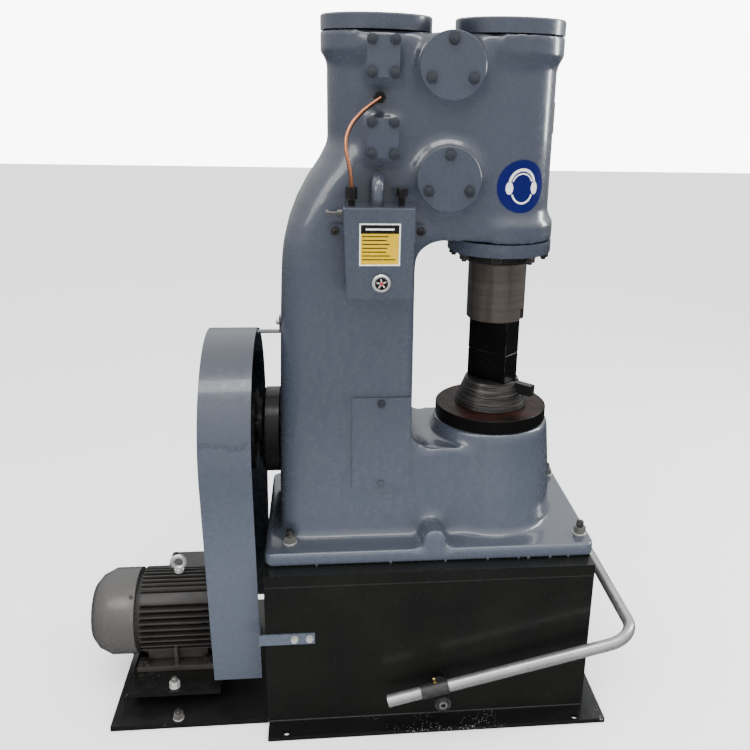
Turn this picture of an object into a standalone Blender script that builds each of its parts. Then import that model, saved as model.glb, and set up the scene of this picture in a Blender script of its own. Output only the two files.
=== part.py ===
# Self-contained air power forging hammer: a cast frame with two cylinders on a welded stand, driven
# by an electric motor through V-belts and worked by a foot treadle that runs round the front.
#
# Sizes are in millimetres. X runs from the motor towards the ram, Y from the near side to the far
# side and Z up. X is measured from the ram's axis, and place() moves it to the object's centre.

import math

import bmesh
import bpy
from mathutils import Matrix, Vector

mm = 0.001
gap = 0.3

# Overall reach, which also fixes where the ram stands
motor_end_x = -907.5
treadle_front_x = 300.0
ram_x = -0.5 * (motor_end_x + treadle_front_x)

# Stand
stand_rear_x = -504.0
stand_front_x = 200.0
stand_half_width = 231.0
stand_top_z = 372.0
flange_front_x = 239.0
flange_half_width = 280.0
flange_thickness = 10.0
anchor_hole_radius = 8.0
floor_plate_rear_x = -841.0
floor_plate_half_width = 224.0

# Frame casting
foot_thickness = 29.7
foot_top_z = stand_top_z + gap + foot_thickness
foot_half_width = 196.0
foot_front_x = 207.5
column_rear_x = -471.0
column_front_x = -191.0
bed_top_z = 603.0
seat_top_z = 632.7
cylinder_spacing = 267.0
head_radius = 98.0
head_bottom_z = 1046.0
head_top_z = 1443.5
cover_radius = 109.8
cover_thickness = 28.7
head_flange_bottom_z = 1400.5
lower_flange_top_z = 1092.0
lower_flange_bottom_z = 1041.0
ram_bore_radius = 70.0
ram_bore_top_z = 1425.0

# Covers on the head's flat sides
side_boss_y = 112.0
valve_x = -130.0
valve_heights = (1382.0, 1172.0)
valve_cover_radius = 63.5
valve_boss_radii = (68.0, 71.0)
side_cover_thickness = 12.0
port_x = -260.5
port_heights = (1395.5, 1248.0)
port_cover_width = 61.0
port_cover_heights = (76.0, 74.0)

# Ram, dies and anvil
ram_radius = 62.8
ram_bottom_z = 863.0
ram_stroke = 190.0
ram_length = 360.0
die_turn = math.radians(-45.0)
die_length = 100.0
die_width = 50.0
die_seam_z = 786.0
lower_die_bottom_z = 723.0
key_width = 18.0
key_offset = 13.0
anvil_disc_radius = 124.5
anvil_disc_bottom_z = 633.0
anvil_disc_top_z = 663.0

# Crankshaft, belt drive and guard
crank_z = 606.0
housing_radius = 94.0
drive_pulley_radius = 200.0
pulley_half_width = 18.0
belt_plane_x = -580.0
belt_pitch = 15.0
belt_top_width = 13.0
belt_bottom_width = 7.5
belt_height = 8.0
motor_axis_z = 150.0
motor_pulley_radius = 40.0
motor_shaft_radius = 14.0
motor_frame_radius = 98.0
motor_foot_z = 50.0
fan_cover_front_x = -807.5
guard_left_x = -624.5
guard_right_x = -520.0
guard_radius = 226.0
guard_bottom_z = 70.0
guard_bottom_half_width = 163.0
guard_sheet = 3.0

# Treadle
treadle_radius = 13.0
treadle_y = 290.0
treadle_bend_radius = 60.0
treadle_end_x = -247.0
treadle_end_z = 97.0
treadle_slope = math.radians(13.7)
pivot_x = -131.0
pivot_z = 94.5
pivot_pin_radius = 9.0

sharp_angle = math.radians(32.0)
weld_distance = 0.01 * mm


# ---- mesh helpers ------------------------------------------------------------------------------

def clear_scene():
    for item in list(bpy.data.objects):
        bpy.data.objects.remove(item, do_unlink=True)


def make_material(name, finish):
    colour, roughness, metallic = finish
    material = bpy.data.materials.new(name)
    material.use_nodes = True
    shader = material.node_tree.nodes["Principled BSDF"]
    shader.inputs["Base Color"].default_value = (*colour, 1.0)
    shader.inputs["Roughness"].default_value = roughness
    shader.inputs["Metallic"].default_value = metallic
    material.diffuse_color = (*colour, 1.0)
    return material


grey_paint = ((0.105, 0.130, 0.165), 0.25, 0.0)
black_paint = ((0.012, 0.013, 0.013), 0.22, 0.0)
black_iron = ((0.018, 0.017, 0.018), 0.35, 0.3)
turned_steel = ((0.23, 0.20, 0.18), 0.35, 0.9)
bright_steel = ((0.62, 0.60, 0.58), 0.25, 1.0)
motor_paint = ((0.06, 0.055, 0.05), 0.45, 0.1)
fan_cover_paint = ((0.13, 0.125, 0.12), 0.35, 0.2)
rubber_black = ((0.015, 0.015, 0.015), 0.8, 0.0)
copper = ((0.75, 0.36, 0.22), 0.25, 1.0)
chrome = ((0.80, 0.80, 0.80), 0.12, 1.0)


def place(x, y, z):
    return Vector(((x + ram_x) * mm, y * mm, z * mm))


def finish_mesh(bm, name, finish, location=(0.0, 0.0, 0.0), turn=(0.0, 0.0, 0.0)):
    for vertex in bm.verts:
        vertex.co *= mm
    bmesh.ops.recalc_face_normals(bm, faces=bm.faces)
    mesh = bpy.data.meshes.new(name)
    bm.to_mesh(mesh)
    bm.free()
    item = bpy.data.objects.new(name, mesh)
    mesh.materials.append(make_material(name + "_material", finish))
    item.location = place(*location)
    item.rotation_euler = turn
    bpy.context.collection.objects.link(item)
    shade(item)
    return item


def shade(item):
    bm = bmesh.new()
    bm.from_mesh(item.data)
    bmesh.ops.remove_doubles(bm, verts=bm.verts, dist=weld_distance)
    for edge in bm.edges:
        edge.smooth = edge.calc_face_angle(0.0) < sharp_angle
    for face in bm.faces:
        face.smooth = True
    bm.to_mesh(item.data)
    bm.free()


def skin(rings, closed=False):
    """Bridges rings of points into one closed solid, with flat ends unless closed round."""
    bm = bmesh.new()
    loops = [[bm.verts.new(point) for point in ring] for ring in rings]
    count = len(loops[0])
    pairs = list(zip(loops, loops[1:]))
    if closed:
        pairs.append((loops[-1], loops[0]))
    for lower, upper in pairs:
        for i in range(count):
            j = (i + 1) % count
            bm.faces.new((lower[i], lower[j], upper[j], upper[i]))
    if not closed:
        bm.faces.new(reversed(loops[0]))
        bm.faces.new(loops[-1])
    return bm


def arc(centre, radius, start, end, steps):
    """Points on an arc between two angles in degrees."""
    points = []
    for i in range(steps + 1):
        angle = math.radians(start + (end - start) * i / steps)
        points.append((centre[0] + radius * math.cos(angle), centre[1] + radius * math.sin(angle)))
    return points


def circle(radius, steps, centre=(0.0, 0.0)):
    return arc(centre, radius, 0.0, 360.0 - 360.0 / steps, steps - 1)


def rounded_rectangle(x0, x1, y0, y1, radius, steps=5, front_radius=None):
    """An outline with rounded corners, which may have another radius on the x1 side."""
    ahead = radius if front_radius is None else front_radius
    corners = (
        ((x1 - ahead, y0 + ahead), ahead, -90.0),
        ((x1 - ahead, y1 - ahead), ahead, 0.0),
        ((x0 + radius, y1 - radius), radius, 90.0),
        ((x0 + radius, y0 + radius), radius, 180.0),
    )
    points = []
    for centre, corner_radius, start in corners:
        points += arc(centre, corner_radius, start, start + 90.0, steps)
    return points


def axis_point(axis, u, v, along):
    """Puts an outline point (u, v) at a distance along the X, Y or Z axis."""
    if axis == "X":
        return (along, u, v)
    if axis == "Y":
        return (u, along, v)
    return (u, v, along)


def prism(outline, start, end, axis="Z"):
    rings = [[axis_point(axis, u, v, along) for u, v in outline] for along in (start, end)]
    return skin(rings)


def turned(profile, steps=64, axis="Z"):
    """Revolves a closed profile of (radius, distance along the axis); radius 0 lies on the axis."""
    bm = bmesh.new()
    rows = []
    for radius, along in profile:
        if radius == 0.0:
            rows.append([bm.verts.new(axis_point(axis, 0.0, 0.0, along))])
        else:
            rows.append([bm.verts.new(axis_point(axis, u, v, along)) for u, v in circle(radius, steps)])
    pairs = list(zip(rows, rows[1:]))
    if profile[0][0] > 0.0:
        pairs.append((rows[-1], rows[0]))
    for lower, upper in pairs:
        for i in range(steps):
            j = (i + 1) % steps
            if len(lower) == 1:
                bm.faces.new((lower[0], upper[j], upper[i]))
            elif len(upper) == 1:
                bm.faces.new((lower[i], lower[j], upper[0]))
            else:
                bm.faces.new((lower[i], lower[j], upper[j], upper[i]))
    return bm


def rod(radius, start, end, steps=48, axis="Z", chamfer=0.0):
    if chamfer == 0.0:
        return turned([(0.0, start), (radius, start), (radius, end), (0.0, end)], steps, axis)
    return turned([
        (0.0, start), (radius - chamfer, start), (radius, start + chamfer),
        (radius, end - chamfer), (radius - chamfer, end), (0.0, end),
    ], steps, axis)


def box(x0, x1, y0, y1, z0, z1, bevel=0.0):
    bm = prism([(x0, y0), (x1, y0), (x1, y1), (x0, y1)], z0, z1)
    if bevel > 0.0:
        bmesh.ops.bevel(bm, geom=list(bm.edges), offset=bevel, segments=2, profile=0.5, affect="EDGES")
    return bm


def tube(path, radius, steps=16):
    """A round bar that follows a list of points, with square-cut ends."""
    points = [Vector(point) for point in path]
    rings = []
    side = None
    for i, point in enumerate(points):
        before = points[max(i - 1, 0)]
        after = points[min(i + 1, len(points) - 1)]
        along = (after - before).normalized()
        if side is None:
            side = along.orthogonal().normalized()
        side = (side - along * side.dot(along)).normalized()
        other = along.cross(side)
        rings.append([point + side * u + other * v for u, v in circle(radius, steps)])
    return skin(rings)


def move(bm, x=0.0, y=0.0, z=0.0):
    bmesh.ops.translate(bm, verts=bm.verts, vec=(x, y, z))
    return bm


def combine(target, solids, operation):
    """Adds solids to the target object, or cuts them from it, and keeps one plain mesh."""
    helpers = []
    for bm in solids:
        helper = finish_mesh(bm, "helper", grey_paint)
        helper.location = target.location
        helper.rotation_euler = target.rotation_euler
        modifier = target.modifiers.new("combine", "BOOLEAN")
        modifier.operation = operation
        modifier.object = helper
        helpers.append(helper)
    bpy.context.view_layer.update()
    shape = target.evaluated_get(bpy.context.evaluated_depsgraph_get())
    mesh = bpy.data.meshes.new_from_object(shape)
    material = target.data.materials[0]
    target.modifiers.clear()
    old_mesh = target.data
    target.data = mesh
    mesh.name = target.name
    bpy.data.meshes.remove(old_mesh)
    mesh.materials.clear()
    mesh.materials.append(material)
    for face in mesh.polygons:
        face.material_index = 0
    for helper in helpers:
        bpy.data.objects.remove(helper, do_unlink=True)
    shade(target)
    return target


# ---- stand -------------------------------------------------------------------------------------

def build_stand():
    body = box(stand_rear_x, stand_front_x, -stand_half_width, stand_half_width,
               flange_thickness + gap, stand_top_z)
    finish_mesh(body, "stand_box", black_paint)
    flange = box(stand_rear_x + 2.0, flange_front_x, -flange_half_width, flange_half_width,
                 0.0, flange_thickness)
    base = finish_mesh(flange, "stand_base_flange", black_paint)
    holes = []
    for x in (stand_rear_x + 41.0, flange_front_x - 66.0):
        for y in (-flange_half_width + 13.0, flange_half_width - 13.0):
            holes.append(move(rod(anchor_hole_radius, -5.0, flange_thickness + 5.0, 24), x, y))
    combine(base, holes, "DIFFERENCE")


def build_motor_mounting():
    plate = box(floor_plate_rear_x, stand_rear_x - gap, -floor_plate_half_width,
                floor_plate_half_width, 0.0, 12.0)
    finish_mesh(plate, "motor_floor_plate", black_paint)
    mount = finish_mesh(box(-816.0, -612.0, -170.0, 170.0, motor_foot_z - 10.0, motor_foot_z - gap),
                        "motor_mounting_plate", black_paint)
    bars = [box(x - 15.0, x + 15.0, -130.0, 130.0, 12.0 + gap, 45.0) for x in (-788.0, -648.0)]
    combine(mount, bars, "UNION")


# ---- frame casting -----------------------------------------------------------------------------

def column_section(z, rear, front, half_width, rear_radius, front_radius):
    outline = rounded_rectangle(rear, front, -half_width, half_width, rear_radius, 8, front_radius)
    return [(x, y, z) for x, y in outline]


def column_solid():
    """The column from the foot up, by height, rear, front, half width and its two corner radii."""
    sections = (
        (foot_top_z - 8.0, -474.0, column_front_x, 129.0, 50.0, 12.0),
        (596.0, column_rear_x, -150.0, 124.0, 50.0, 12.0),
        (604.5, column_rear_x, -159.0, 123.8, 50.0, 12.0),
        (611.0, column_rear_x, -173.0, 123.7, 50.0, 12.0),
        (622.0, -470.5, -184.5, 123.5, 50.0, 12.0),
        (638.0, -470.0, column_front_x, 123.1, 50.0, 12.0),
        (900.0, -463.0, column_front_x, 117.0, 52.0, 12.0),
        (985.0, -459.5, column_front_x, 114.5, 54.0, 12.0),
        (1004.0, -458.5, -189.5, 113.8, 55.0, 15.0),
        (1024.0, -456.5, -181.5, 113.0, 56.0, 24.0),
        (1040.0, -454.0, -158.0, 112.5, 57.0, 40.0),
        (1046.0, -453.0, -125.0, 112.0, 58.0, 58.0),
        (1075.0, -446.0, -125.0, 110.0, 62.0, 62.0),
        (1122.0, -428.0, -125.0, 106.0, 70.0, 70.0),
        (1165.0, -405.0, -125.0, 102.0, 78.0, 78.0),
        (1201.0, -381.0, -125.0, 99.0, 86.0, 86.0),
        (1236.0, -cylinder_spacing - head_radius + 1.0, -125.0, 97.5, 94.0, 94.0),
    )
    return skin([column_section(*section) for section in sections])


def stadium(radius, rear, front, steps=27):
    """The outline round two equal cylinders that stand at rear and front."""
    return arc((front, 0.0), radius, -90.0, 90.0, steps) + arc((rear, 0.0), radius, 90.0, 270.0, steps)


def build_frame():
    foot = prism(rounded_rectangle(stand_rear_x, foot_front_x, -foot_half_width, foot_half_width, 20.0),
                 stand_top_z + gap, foot_top_z)
    frame = finish_mesh(foot, "frame_casting", grey_paint)
    bed_rings = []
    for z, half_width in ((foot_top_z - 8.0, 129.0), (bed_top_z, 123.0)):
        outline = rounded_rectangle(-400.0, 20.0, -half_width, half_width, 20.0)
        bed_rings.append([(x, y, z) for x, y in outline])
    anvil = turned([(0.0, foot_top_z - 8.0), (147.5, foot_top_z - 8.0), (142.0, 494.0),
                    (131.0, seat_top_z - 14.0), (126.5, seat_top_z), (0.0, seat_top_z)], 72)
    head = prism(stadium(head_radius, -cylinder_spacing, 0.0), head_bottom_z, head_top_z - 4.0)
    solids = [skin(bed_rings), anvil, column_solid(), head]
    for x in (-cylinder_spacing, 0.0):
        flange = turned([(0.0, head_flange_bottom_z - 20.0), (cover_radius - 20.0, head_flange_bottom_z - 20.0),
                         (cover_radius, head_flange_bottom_z), (cover_radius, head_top_z),
                         (0.0, head_top_z)], 72)
        solids.append(move(flange, x))
    solids.append(turned([(0.0, lower_flange_bottom_z), (cover_radius, lower_flange_bottom_z),
                          (cover_radius, lower_flange_top_z - 10.0),
                          (cover_radius - 20.0, lower_flange_top_z + 12.0),
                          (0.0, lower_flange_top_z + 12.0)], 66))
    for z, radius in zip(valve_heights, valve_boss_radii):
        outline = [(x, min(v, head_top_z - 1.5)) for x, v in circle(radius, 56, (valve_x, z))]
        solids.append(prism(outline, -side_boss_y, side_boss_y, "Y"))
    half_width = 0.5 * port_cover_width + 2.0
    for z, height in zip(port_heights, port_cover_heights):
        half_height = 0.5 * height + 2.0
        solids.append(box(port_x - half_width, port_x + half_width, -side_boss_y, side_boss_y,
                          z - half_height, z + half_height, 3.0))
    lug_end = foot_half_width - 0.4
    for side in (-1.0, 1.0):
        lug = prism(arc((0.0, 0.0), 24.0, 0.0, 180.0, 12) + [(-24.0, -30.0), (24.0, -30.0)],
                    min(side * lug_end, side * 110.0), max(side * lug_end, side * 110.0), "Y")
        solids.append(move(lug, -145.0, 0.0, foot_top_z + 19.0))
    combine(frame, solids, "UNION")
    cuts = [
        rod(ram_bore_radius, lower_flange_bottom_z - 20.0, ram_bore_top_z, 64),
        rod(34.0, column_rear_x - 30.0, column_rear_x + 90.0, 48, "X"),
    ]
    move(cuts[1], 0.0, 0.0, crank_z)
    combine(frame, cuts, "DIFFERENCE")


def build_covers():
    for name, x in (("compressor_cylinder_cover", -cylinder_spacing), ("ram_cylinder_cover", 0.0)):
        profile = [(0.0, 0.0), (cover_radius, 0.0), (cover_radius, cover_thickness - 3.0),
                   (cover_radius - 3.0, cover_thickness), (0.0, cover_thickness)]
        finish_mesh(turned(profile, 72), name, grey_paint, (x, 0.0, head_top_z + gap))
    lower = turned([(ram_radius + 1.7, -28.0), (cover_radius - 2.0, -28.0), (cover_radius, -25.0),
                    (cover_radius, -gap), (ram_radius + 1.7, -gap)], 72)
    finish_mesh(lower, "ram_cylinder_lower_cover", grey_paint, (0.0, 0.0, lower_flange_bottom_z))
    gland = turned([(ram_radius + 0.5, -21.0), (74.0, -21.0), (80.0, -15.0), (80.0, -gap),
                    (ram_radius + 0.5, -gap)], 72)
    finish_mesh(gland, "ram_gland", black_iron, (0.0, 0.0, lower_flange_bottom_z - 28.0))
    for side, word in ((-1.0, ""), (1.0, "_far")):
        for level, z in zip(("upper", "lower"), valve_heights):
            disc = rod(valve_cover_radius, 0.0, side_cover_thickness, 56, "Y", 1.5)
            y = side_boss_y + gap if side > 0 else -side_boss_y - gap - side_cover_thickness
            finish_mesh(disc, level + "_valve_cover" + word, grey_paint, (valve_x, y, z))
        for level, z, height in zip(("upper", "lower"), port_heights, port_cover_heights):
            plate = box(-0.5 * port_cover_width, 0.5 * port_cover_width, 0.0, side_cover_thickness,
                        -0.5 * height, 0.5 * height, 1.5)
            y = side_boss_y + gap if side > 0 else -side_boss_y - gap - side_cover_thickness
            finish_mesh(plate, level + "_port_cover" + word, grey_paint, (port_x, y, z))
    # The column's near side leans inwards, and its access cover leans with it
    lean = math.atan2(124.0 - 117.0, 300.0)
    cover = box(-62.0, 62.0, -5.0, 0.0, -103.0, 103.0, 1.0)
    middle_z = 619.5
    side_y = 124.0 - (middle_z - 600.0) * math.tan(lean)
    finish_mesh(cover, "column_access_cover", grey_paint, (-257.0, -side_y - 0.8, middle_z), (-lean, 0.0, 0.0))


# ---- ram, dies and anvil -----------------------------------------------------------------------

def key_bar(start, end, low, high, clearance=0.0):
    """A key along the die's length, or with some clearance the seat that is cut for it."""
    half_width = 0.5 * key_width + clearance
    bar = box(start - clearance, end + clearance, key_offset - half_width, key_offset + half_width, low, high)
    bmesh.ops.rotate(bar, verts=bar.verts, matrix=Matrix.Rotation(die_turn, 3, "Z"))
    return bar


def build_ram():
    ram = finish_mesh(rod(ram_radius, 0.0, ram_length, 72, "Z", 3.0), "ram", turned_steel,
                      (0.0, 0.0, ram_bottom_z))
    seat = key_bar(-45.0, 90.0, -20.0, 26.0, gap)
    combine(ram, [seat], "DIFFERENCE")
    finish_mesh(key_bar(-45.0, 46.0, 0.5, 26.0 - gap), "upper_die_key", black_iron, (0.0, 0.0, ram_bottom_z))
    die_top = ram_bottom_z - gap
    upper = box(-0.5 * die_length, 0.5 * die_length, -0.5 * die_width, 0.5 * die_width,
                die_seam_z + gap - die_top, 0.0, 1.5)
    finish_mesh(upper, "upper_die", black_iron, (0.0, 0.0, die_top), (0.0, 0.0, die_turn))


def build_anvil():
    cone_top_z = lower_die_bottom_z - gap
    cap = turned([(0.0, anvil_disc_bottom_z), (anvil_disc_radius - 2.0, anvil_disc_bottom_z),
                  (anvil_disc_radius, anvil_disc_bottom_z + 2.0), (anvil_disc_radius, anvil_disc_top_z - 2.0),
                  (anvil_disc_radius - 2.0, anvil_disc_top_z), (81.0, anvil_disc_top_z),
                  (79.0, anvil_disc_top_z + 10.0), (59.5, cone_top_z), (0.0, cone_top_z)], 72)
    cap = finish_mesh(cap, "anvil_cap", black_iron)
    key_bottom_z = cone_top_z - 26.0
    key_top_z = cone_top_z - 2.0
    combine(cap, [key_bar(-45.0, 130.0, key_bottom_z - gap, cone_top_z + 20.0, gap)], "DIFFERENCE")
    finish_mesh(key_bar(-45.0, 100.0, key_bottom_z, key_top_z), "lower_die_key", black_iron)
    lower = box(-0.5 * die_length, 0.5 * die_length, -0.5 * die_width, 0.5 * die_width,
                0.0, die_seam_z - lower_die_bottom_z, 1.5)
    finish_mesh(lower, "lower_die", black_iron, (0.0, 0.0, lower_die_bottom_z), (0.0, 0.0, die_turn))


# ---- oil box and pipe --------------------------------------------------------------------------

def build_oiler():
    top_z = 1126.5
    bottom_z = 943.0
    back_y = -117.5
    bottom_front_y = -172.0
    top_front_y = -192.0
    rings = []
    for z, x0, x1, front_y in ((bottom_z, -332.0, -201.0, bottom_front_y), (top_z, -338.0, -201.0, top_front_y)):
        rings.append([(x0, front_y, z), (x1, front_y, z), (x1, back_y, z), (x0, back_y, z)])
    bm = skin(rings)
    bmesh.ops.bevel(bm, geom=list(bm.edges), offset=3.0, segments=2, profile=0.5, affect="EDGES")
    oil_box = finish_mesh(bm, "oil_box", grey_paint)
    lug_z = 1070.0
    lugs = arc((-182.0, lug_z), 13.0, -90.0, 90.0, 10) + arc((-352.0, lug_z), 13.0, 90.0, 270.0, 10)
    combine(oil_box, [prism(lugs, -119.0, -112.2, "Y")], "UNION")
    lean = math.atan2(bottom_front_y - top_front_y, top_z - bottom_z)
    glass_z = 980.0
    glass_y = bottom_front_y - (glass_z - bottom_z) * math.tan(lean) - gap
    finish_mesh(rod(18.0, -6.0, 0.0, 32, "Y", 2.0), "oil_sight_glass", chrome, (-264.0, glass_y, glass_z),
                (lean, 0.0, 0.0))
    screw = turned([(0.0, -31.0), (7.0, -31.0), (7.0, -26.0), (3.0, -26.0), (3.0, -10.0), (7.5, -10.0),
                    (7.5, 0.0), (0.0, 0.0)], 16, "X")
    finish_mesh(screw, "oil_flow_screw", bright_steel, (-338.3, -160.0, 1112.0))
    fitting_y = -160.0
    neck_z = top_z + gap
    fitting = finish_mesh(rod(6.5, 0.0, 14.0, 16), "oil_pipe_lower_fitting", black_iron, (-321.0, fitting_y, neck_z))
    combine(fitting, [rod(11.0, 11.0, 34.0, 6)], "UNION")
    plug = finish_mesh(rod(6.5, 0.0, 20.0, 16), "oil_box_plug", black_iron, (-225.5, fitting_y, neck_z))
    combine(plug, [rod(11.0, 17.0, 33.0, 6)], "UNION")
    elbow = [(0.0, 0.0, 0.0), (0.0, 0.0, 26.0), (0.5, 5.0, 37.0), (1.5, 16.0, 44.0), (2.5, 34.0, 46.5),
             (3.0, 56.4, 47.0)]
    finish_mesh(tube(elbow, 12.0, 18), "oil_filler_elbow", grey_paint, (-271.5, fitting_y, neck_z))
    finish_mesh(rod(12.0, -24.0, 0.0, 6, "Y"), "oil_pipe_upper_fitting", black_iron,
                (-266.0, -head_radius - gap, 1322.0))
    pipe = [(-321.0, -160.0, neck_z + 34.0 + gap), (-322.0, -160.0, 1175.0), (-323.5, -159.0, 1190.0),
            (-328.0, -156.0, 1213.0), (-330.5, -152.0, 1226.0), (-331.0, -149.0, 1238.0),
            (-330.0, -146.0, 1249.0), (-327.0, -143.5, 1259.0), (-322.0, -141.0, 1270.0),
            (-315.5, -138.5, 1280.0), (-299.5, -134.0, 1297.0), (-283.0, -130.5, 1309.5), (-265.0, -127.5, 1322.0)]
    finish_mesh(tube(pipe, 4.0, 12), "oil_pipe", copper)


# ---- crankshaft, belts and guard ---------------------------------------------------------------

def build_drive_pulley():
    housing = turned([(30.8, -473.0), (housing_radius, -473.0), (housing_radius, -502.0),
                      (housing_radius - 7.0, -509.0), (66.0, -509.0), (66.0, -517.0), (30.8, -517.0)], 64, "X")
    finish_mesh(housing, "crankshaft_bearing_housing", black_iron, (0.0, 0.0, crank_z))
    rim_rear_x = belt_plane_x - pulley_half_width
    rim_front_x = belt_plane_x + pulley_half_width
    web_rear_x = belt_plane_x - 6.0
    web_front_x = belt_plane_x + 6.0
    rim_inner_radius = drive_pulley_radius - 20.0
    profile = [(0.0, rim_rear_x - 6.0), (34.0, rim_rear_x - 6.0), (34.0, rim_rear_x), (50.0, rim_rear_x),
               (50.0, web_rear_x), (rim_inner_radius, web_rear_x), (rim_inner_radius, rim_rear_x)]
    profile += pulley_rim(drive_pulley_radius)
    profile += [(rim_inner_radius, rim_front_x), (rim_inner_radius, web_front_x), (66.0, web_front_x),
                (66.0, -540.0), (90.0, -536.0), (90.0, -524.0), (30.0, -524.0), (30.0, -400.0), (0.0, -400.0)]
    finish_mesh(turned(profile, 64, "X"), "drive_pulley", black_iron, (0.0, 0.0, crank_z))
    hub_radius = motor_pulley_radius - 12.0
    small = [(0.0, -631.0), (motor_shaft_radius, -631.0), (motor_shaft_radius, rim_rear_x),
             (hub_radius, rim_rear_x)]
    small += pulley_rim(motor_pulley_radius)
    small += [(hub_radius, rim_front_x), (motor_shaft_radius, rim_front_x), (motor_shaft_radius, rim_front_x + 4.0),
              (0.0, rim_front_x + 4.0)]
    finish_mesh(turned(small, 48, "X"), "motor_pulley", black_iron, (0.0, 0.0, motor_axis_z))


def pulley_rim(radius):
    """The grooved edge of a pulley, from its motor side to its frame side."""
    clearance = 0.5
    depth = belt_height + 1.0
    points = [(radius, belt_plane_x - pulley_half_width)]
    for offset in (-0.5 * belt_pitch, 0.5 * belt_pitch):
        x = belt_plane_x + offset
        half_top = 0.5 * belt_top_width + clearance
        half_bottom = 0.5 * belt_bottom_width + clearance
        points += [(radius, x - half_top), (radius - depth, x - half_bottom),
                   (radius - depth, x + half_bottom), (radius, x + half_top)]
    points.append((radius, belt_plane_x + pulley_half_width))
    return points


def belt_path(big, small, steps):
    """Points (y, z) and outward directions round both pulleys."""
    distance = crank_z - motor_axis_z
    lean = math.degrees(math.asin((big - small) / distance))
    points = []
    for centre_z, radius, start, end in ((crank_z, big, -lean, 180.0 + lean),
                                         (motor_axis_z, small, 180.0 + lean, 360.0 - lean)):
        count = steps if radius == big else steps // 2
        for i in range(count + 1):
            angle = math.radians(start + (end - start) * i / count)
            direction = Vector((0.0, math.cos(angle), math.sin(angle)))
            points.append((Vector((0.0, 0.0, centre_z)) + direction * radius, direction))
    return points


def build_belts():
    for number, offset in ((1, -0.5 * belt_pitch), (2, 0.5 * belt_pitch)):
        rings = []
        for point, outward in belt_path(drive_pulley_radius, motor_pulley_radius, 44):
            ring = []
            for across, depth in ((-0.5 * belt_top_width, 0.0), (0.5 * belt_top_width, 0.0),
                                  (0.5 * belt_bottom_width, -belt_height), (-0.5 * belt_bottom_width, -belt_height)):
                ring.append(point + outward * depth + Vector((across, 0.0, 0.0)))
            rings.append(ring)
        finish_mesh(skin(rings, closed=True), "drive_belt_%d" % number, rubber_black,
                    (belt_plane_x + offset, 0.0, 0.0))


def guard_outline(inset):
    """The guard's outline (y, z): a round top with straight sides that lean in to the open bottom."""
    radius = guard_radius - inset
    foot = guard_bottom_half_width - inset
    drop = crank_z - guard_bottom_z
    distance = math.hypot(foot, drop)
    lean = math.degrees(math.asin(radius / distance) - math.atan2(foot, drop))
    bottom = guard_bottom_z if inset == 0.0 else guard_bottom_z - 20.0
    reach = foot if inset == 0.0 else foot - 20.0 * math.tan(math.radians(lean))
    return arc((0.0, crank_z), radius, -lean, 180.0 + lean, 40) + [(-reach, bottom), (reach, bottom)]


def build_guard():
    guard = finish_mesh(prism(guard_outline(0.0), guard_left_x, guard_right_x, "X"), "belt_guard", grey_paint)
    hollow = prism(guard_outline(guard_sheet), guard_left_x + guard_sheet, guard_right_x + 20.0, "X")
    slot_radius = 112.0
    slot = prism(arc((0.0, motor_axis_z), slot_radius, 0.0, 180.0, 24) + [(-slot_radius, 20.0), (slot_radius, 20.0)],
                 guard_left_x - 20.0, guard_left_x + 20.0, "X")
    combine(guard, [hollow, slot], "DIFFERENCE")
    lower_strap(221.0)
    upper_strap()


def lower_strap(strap_z):
    strap = prism([(stand_rear_x + 104.0, -237.0), (-517.0, -237.0), (-517.0, -190.0), (-514.0, -190.0),
                   (-514.0, -234.0), (stand_rear_x + 104.0, -234.0)], -13.0, 13.0)
    finish_mesh(strap, "guard_lower_bracket", grey_paint, (0.0, 2.5, strap_z))


def upper_strap():
    """A bent strip from under the guard's top to a spacer on the column's rear."""
    top_z = 824.8
    leg_x = -469.0
    outline = [(-548.0, top_z - 3.0), (leg_x, top_z - 3.0), (leg_x, 858.0), (leg_x - 3.0, 858.0),
               (leg_x - 3.0, top_z), (-548.0, top_z)]
    strap = finish_mesh(prism(outline, 20.0, 40.0, "Y"), "guard_upper_bracket", grey_paint)
    spacer = move(rod(8.0, leg_x - 1.0, -465.2, 20, "X"), 0.0, 30.0, 845.0)
    combine(strap, [spacer], "UNION")


# ---- motor -------------------------------------------------------------------------------------

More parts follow.
